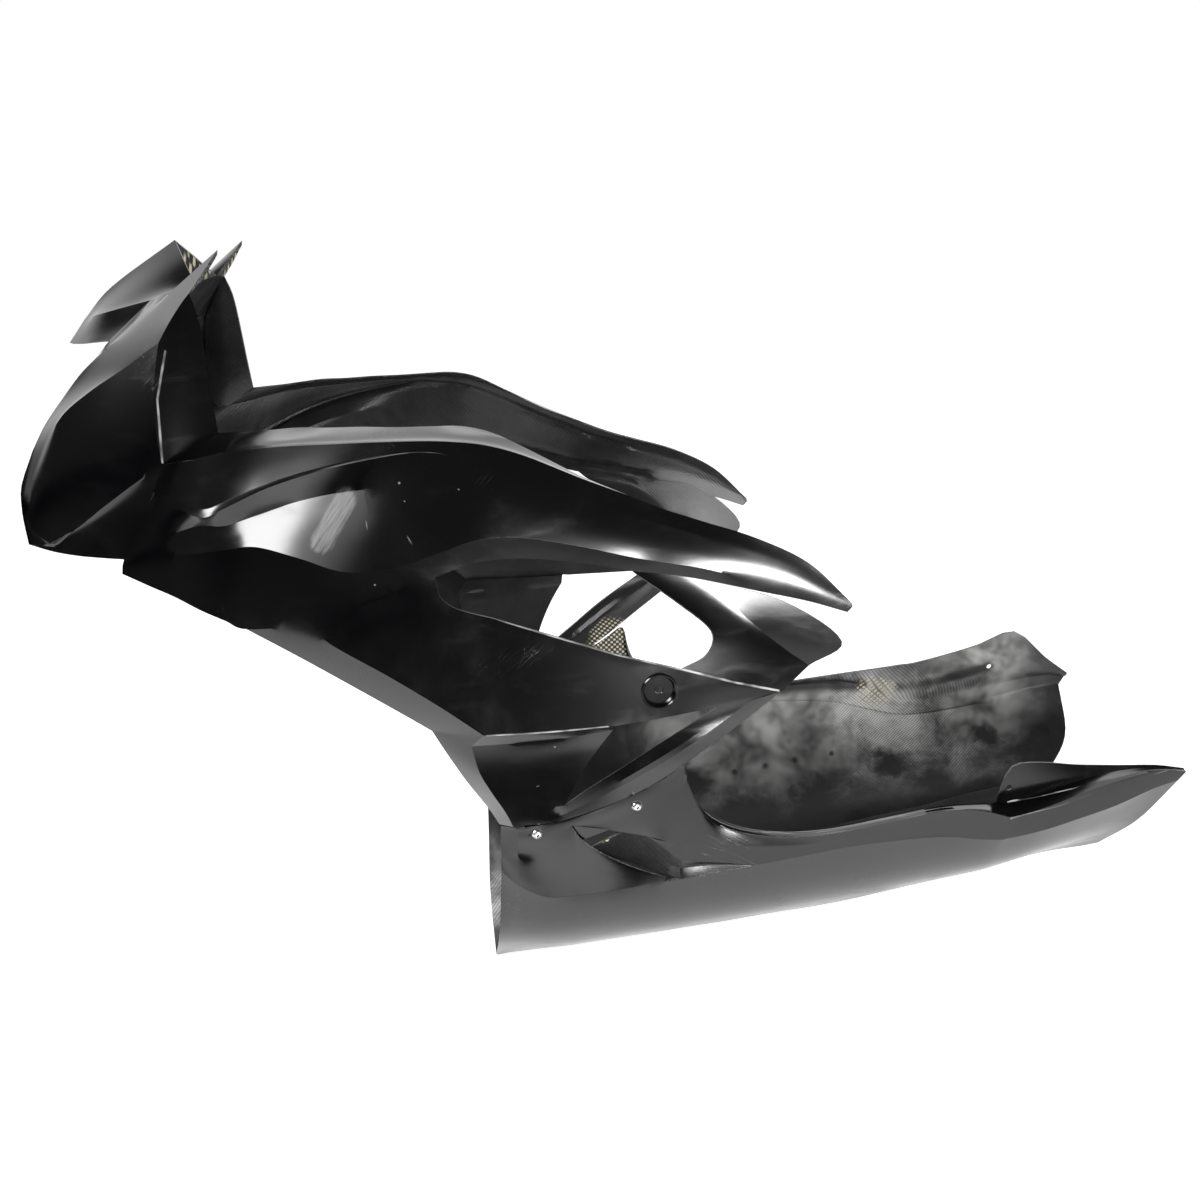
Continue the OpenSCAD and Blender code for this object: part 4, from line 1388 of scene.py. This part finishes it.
@dataclass(frozen=True)
class Steel:
    """Plated steel of the joint's screws, washers and nuts."""

    name: str = "plated_steel"
    bright: tuple[float, float, float] = (0.62, 0.62, 0.62)
    tarnished: tuple[float, float, float] = (0.42, 0.41, 0.39)

    def material(self) -> bpy.types.Material:
        """Mixes the finish.

        Returns:
            The material.
        """
        material, paint = new_paint(self.name)
        where = paint.place()[3]
        streak = paint.grain(where, 900.0, 3.0)
        tarnish = paint.grain(where, 120.0, 3.0)
        colour = paint.blend(tarnish.between(0.45, 0.7), self.bright, self.tarnished)
        paint.surface(Base_Color=colour, Metallic=1.0, Roughness=0.26 + streak * 0.12,
                      Normal=paint.relief(streak, 0.1, 0.0002))
        return material


@dataclass(frozen=True)
class Lamp:
    """One soft lamp."""

    name: str
    place: tuple[float, float, float]
    target: tuple[float, float, float]
    size: tuple[float, float]
    watts: float

    def build(self) -> None:
        """Hangs the lamp."""
        data = bpy.data.lights.new(self.name, "AREA")
        data.shape, data.size, data.size_y, data.energy = "RECTANGLE", self.size[0], self.size[1], self.watts
        lamp = bpy.data.objects.new(self.name, data)
        bpy.context.collection.objects.link(lamp)
        lamp.location = self.place
        lamp.rotation_euler = (Vector(self.target) - Vector(self.place)).to_track_quat("-Z", "Y").to_euler()


@dataclass(frozen=True)
class Glow:
    """A soft pale part of the room, seen in the gloss: its bearing from the camera's side, height and strength."""

    bearing: float
    height: float
    core: float
    reach: float
    strength: float

    def seen(self, paint: Paint, way: Any) -> Value:
        """Gives its brightness in a direction.

        Args:
            paint: The surround's paint.
            way: The direction.

        Returns:
            The brightness.
        """
        bearing, height = math.radians(self.bearing), math.radians(self.height)
        axis = (math.sin(bearing) * math.cos(height), -math.cos(bearing) * math.cos(height), math.sin(height))
        facing = Value(paint, paint.vector("DOT_PRODUCT", way, axis).outputs["Value"])
        return facing.between(math.cos(math.radians(self.reach)), math.cos(math.radians(self.core))) * self.strength


@dataclass(frozen=True)
class FloorPatch:
    """A soft-edged rectangle on the floor: where it comes in and where it goes out, along each axis."""

    x_in: tuple[float, float]
    x_out: tuple[float, float]
    y_in: tuple[float, float]
    y_out: tuple[float, float]

    def seen(self, x: Value, y: Value) -> Value:
        """Gives 1 on the patch and 0 off it."""
        return y.between(*self.y_in) * (1.0 - y.between(*self.y_out)) * x.between(*self.x_in) * (
            1.0 - x.between(*self.x_out))


@dataclass(frozen=True)
class Studio:
    """The pale floor, the white surround, the lamps and the camera."""

    camera_place: tuple[float, float, float] = (-0.2065, -1.4076, 0.8311)
    camera_aim: tuple[float, float, float] = (0.1204, 0.9461, -0.3007)
    lens: float = 40.5
    sensor: float = 36.0
    floor_size: float = 24.0
    floor_shown: float = 0.82
    floor_tone: tuple[float, float, float] = (0.55, 0.55, 0.55)
    # Painted shade: the floor's dim colour as the gloss sees it outside the glowing area.
    floor_shade_in_gloss: tuple[float, float, float] = (0.06, 0.06, 0.06)
    # Painted shade: a dark patch on the floor, seen in the gloss of the leg.
    painted_shade_under_leg: FloorPatch = FloorPatch((-0.3, -0.23), (-0.02, 0.05), (-0.42, -0.39), (-0.26, -0.21))
    # Painted light: a bright patch on the floor, seen in the gloss of the pan's side.
    painted_light_beside_pan: FloorPatch = FloorPatch((-0.7, -0.55), (-0.05, 0.1), (-0.6, -0.52), (-0.43, -0.4))
    behind_level: float = 1.6
    front_level: float = 0.06
    fill_level: float = 0.35
    lamps: tuple[Lamp, ...] = (
        Lamp("overhead", (0.1, 0.7, 2.6), (0.0, 0.0, 0.3), (2.6, 1.4), 40.0),
        Lamp("front_left", (-2.11, -0.91, 1.95), (-0.36, -0.2, 0.55), (1.1, 1.0), 80.0),
        Lamp("camera_right", (0.4, -1.25, 0.31), (0.13, -0.2, 0.45), (0.36, 0.3), 21.0),
    )
    glows: tuple[Glow, ...] = (Glow(-46, 38, 5, 15, 2.6),)

    def camera(self) -> None:
        """Sets the camera at the photograph's angle."""
        data = bpy.data.cameras.new("camera")
        data.lens, data.sensor_width = self.lens, self.sensor
        camera = bpy.data.objects.new("camera", data)
        bpy.context.collection.objects.link(camera)
        camera.location = self.camera_place
        camera.rotation_euler = Vector(self.camera_aim).to_track_quat("-Z", "Y").to_euler()
        bpy.context.scene.camera = camera

    def floor(self) -> None:
        """Lays the pale floor, which keeps the object's shadow; in the gloss it glows with painted light around the
        object and in a patch beside the pan, with painted shade in a patch under the leg and further out.
        """
        clear_selection()
        bpy.ops.mesh.primitive_plane_add(size=self.floor_size, location=(0, 0, -0.001))
        floor = bpy.context.object
        floor.name = "floor"
        bpy.ops.object.transform_apply(location=True)
        material, paint = new_paint("pale_floor")
        rays = paint.node("ShaderNodeLightPath")
        glossy = Value(paint, rays.outputs["Is Glossy Ray"])
        x, y, _, _ = paint.place()
        # Painted light and shade for the gloss: the floor glows around the object and beside the pan, is dark under
        # the leg, and its colour is dimmed further out.
        lit = y.between(-0.95, -0.5) * x.between(-1.5, -1.0) * (1.0 - self.painted_shade_under_leg.seen(x, y))
        seen = (Value(paint, rays.outputs["Is Camera Ray"]) * self.floor_shown
                + glossy * (lit * 0.95 + self.painted_light_beside_pan.seen(x, y) * 0.9 - 0.05))
        tone = paint.blend(glossy * (1.0 - lit), self.floor_tone, self.floor_shade_in_gloss)
        plain = paint.node("ShaderNodeBsdfDiffuse", inputs={"Color": tone})
        glow = paint.node("ShaderNodeEmission", inputs={"Color": (1, 1, 1, 1), "Strength": seen})
        both = paint.node("ShaderNodeAddShader", inputs={0: plain.outputs[0], 1: glow.outputs[0]})
        paint.node("ShaderNodeOutputMaterial", inputs={"Surface": both.outputs[0]})
        floor.data.materials.append(material)

    def surround(self) -> None:
        """Sets the white background, which gloss sees behind the object, and the dim room in front."""
        world = bpy.data.worlds.new("studio")
        bpy.context.scene.world = world
        world.use_nodes = True
        paint = Paint(world.node_tree)
        rays = paint.node("ShaderNodeLightPath")
        seen = Value(paint, rays.outputs["Is Camera Ray"])
        gloss = Value(paint, rays.outputs["Is Glossy Ray"]).most(Value(paint, rays.outputs["Is Transmission Ray"]))
        toward = paint.node("ShaderNodeTexCoord").outputs["Generated"]
        behind = Value(paint, paint.node("ShaderNodeSeparateXYZ", inputs={0: toward}).outputs[1]).between(0.3, 0.65)
        room = behind * self.behind_level + self.front_level
        for glow in self.glows:
            room = room + glow.seen(paint, toward)
        shown = seen.most(gloss * room)
        fill = (1.0 - seen.most(gloss)) * self.fill_level
        back = paint.node("ShaderNodeBackground", inputs={"Color": (1, 1, 1, 1), "Strength": shown + fill})
        paint.node("ShaderNodeOutputWorld", inputs={"Surface": back.outputs[0]})

    def build(self) -> None:
        """Sets up the whole studio."""
        self.floor()
        self.surround()
        for lamp in self.lamps:
            lamp.build()
        self.camera()
        bpy.context.scene.view_settings.view_transform = "Standard"


@dataclass(frozen=True)
class Joints:
    """The four screws, washers and nuts that hold the skins together, and their holes."""

    places: tuple[tuple[str, Triple], ...] = (("front", (481.0, 200.0, 206.0)), ("rear", (579.0, 211.7, 236.0)))
    screw_hole: float = 6.6
    shank: float = 6.0
    screw_length: float = 16.0
    head: float = 10.5
    head_height: float = 3.3
    socket: float = 4.0
    socket_depth: float = 2.1
    washer: float = 12.0
    washer_thickness: float = 1.6
    nut_width: float = 10.0
    nut_height: float = 5.0
    seat: float = 12.5
    washer_seat: float = 14.0
    reach_in: float = 40.0
    reach_out: float = 30.0
    turned_steps: int = 40
    stack: float = 2 * WALL + LAP_GAP

    def bores(self) -> list[Bore]:
        """Gives the holes and seats through both skins.

        Returns:
            The bore, the head's seat and the washer's seat of each screw.
        """
        made: list[Bore] = []
        for side in Side:
            for _, (x, y, z) in self.places:
                made.append(Bore(x, z, self.screw_hole, y - self.reach_in, y + self.reach_out, side))
                made.append(Bore(x, z, self.seat, y, y + self.reach_out, side))
                made.append(Bore(x, z, self.washer_seat, y - self.reach_in, y - self.stack, side))
        return made

    def prism(self, width: float, inner: float, outer: float) -> bpy.types.Object:
        """Adds a six-sided bar.

        Args:
            width: Its width across the flats.
            inner: The depth of its inner end.
            outer: The depth of its outer end.

        Returns:
            The bar.
        """
        clear_selection()
        bpy.ops.mesh.primitive_cylinder_add(
            vertices=6, radius=width / math.sqrt(3) * MM, depth=(outer - inner) * MM,
            location=(0, (inner + outer) / 2 * MM, 0), rotation=(math.pi / 2, 0, 0))
        bar = bpy.context.object
        bpy.ops.object.transform_apply(location=True, rotation=True, scale=True)
        return bar

    def cut(self, piece: bpy.types.Object, tool: bpy.types.Object, operation: str = "DIFFERENCE") -> None:
        """Cuts a piece with a tool and takes the tool away.

        Args:
            piece: The piece to cut.
            tool: The tool.
            operation: What the tool leaves of the piece.
        """
        modify(piece, "BOOLEAN", object=tool, operation=operation, solver="MANIFOLD")
        bpy.data.objects.remove(tool)

    def screw(self) -> bpy.types.Object:
        """Turns the button-head screw and cuts its socket.

        Returns:
            The screw, about the origin.
        """
        r, shank, top = self.head / 2, self.shank / 2, self.head_height
        screw = lathe("joint_screw", [
            (0, -self.screw_length), (shank - 0.8, -self.screw_length), (shank, -self.screw_length + 0.8),
            (shank, 0), (r - 0.25, 0), (r, 0.3), (r - 0.05, 0.8), (r - 0.4, 1.5), (r - 1.0, 2.2), (r - 1.8, 2.8),
            (r - 2.5, top - 0.15), (r - 2.8, top), (0, top)], self.turned_steps)
        self.cut(screw, self.prism(self.socket, top - self.socket_depth, top + 2))
        return screw

    def washer_ring(self) -> bpy.types.Object:
        """Turns the washer.

        Returns:
            The washer, about the origin.
        """
        face, inner, outer = -self.stack, self.screw_hole / 2, self.washer / 2
        back = face - self.washer_thickness
        return lathe("joint_washer", [
            (inner, back), (outer - 0.2, back), (outer, back + 0.2), (outer, face - 0.2), (outer - 0.2, face),
            (inner, face)], self.turned_steps)

    def nut(self) -> bpy.types.Object:
        """Makes the nut: a six-sided bar, its corners turned down and its thread's bore cut.

        Returns:
            The nut, about the origin.
        """
        face = -self.stack - self.washer_thickness
        back, corner, bore = face - self.nut_height, self.nut_width / math.sqrt(3), self.shank / 2
        nut = self.prism(self.nut_width, back, face)
        nut.name = "joint_nut"
        self.cut(nut, lathe("turned", [
            (0, back), (corner - 0.9, back), (corner, back + 0.5), (corner, face - 0.2), (corner - 0.3, face),
            (0, face)], self.turned_steps), "INTERSECT")
        self.cut(nut, lathe("thread", [
            (0, back - 1), (bore + 0.9, back - 1), (bore, back + 0.5), (bore, face + 1), (0, face + 1)],
            self.turned_steps))
        return nut

    def build(self, steel: bpy.types.Material) -> list[bpy.types.Object]:
        """Makes one of each piece and sets a copy of it in each place.

        Args:
            steel: The finish.

        Returns:
            The twelve pieces.
        """
        made: list[bpy.types.Object] = []
        for kind, model in (("screw", self.screw()), ("washer", self.washer_ring()), ("nut", self.nut())):
            model.data.materials.clear()
            model.data.materials.append(steel)
            for face in model.data.polygons:
                face.material_index = 0
            for side in Side:
                for end, place in self.places:
                    node = f"joint_{kind}_{side.name.lower()}_{end}"
                    piece = model.copy()
                    piece.data = model.data.copy()
                    piece.name = piece.data.name = f"{node}_piece"
                    bpy.context.collection.objects.link(piece)
                    set_in(piece, place, side)
                    finish_shading(piece)
                    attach(piece, "root")
                    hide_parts(node)
                    made.append(piece)
            bpy.data.objects.remove(model)
        return made


def main() -> None:
    """Builds the fairing and its studio, and reports each piece."""
    logging.basicConfig(level=logging.INFO, format="%(message)s")
    Studio().build()
    finishes = [Gelcoat().material(), Cloth().material(), TrimmedEdge().material()]
    joints = Joints()
    pieces = [UpperFairing().build(joints.bores(), finishes),
              BellyPan().build(joints.bores(), finishes),
              *joints.build(Steel().material())]
    for piece in pieces:
        log.info("%s: %d faces", piece.name, len(piece.data.polygons))


if __name__ == "__main__":
    main()
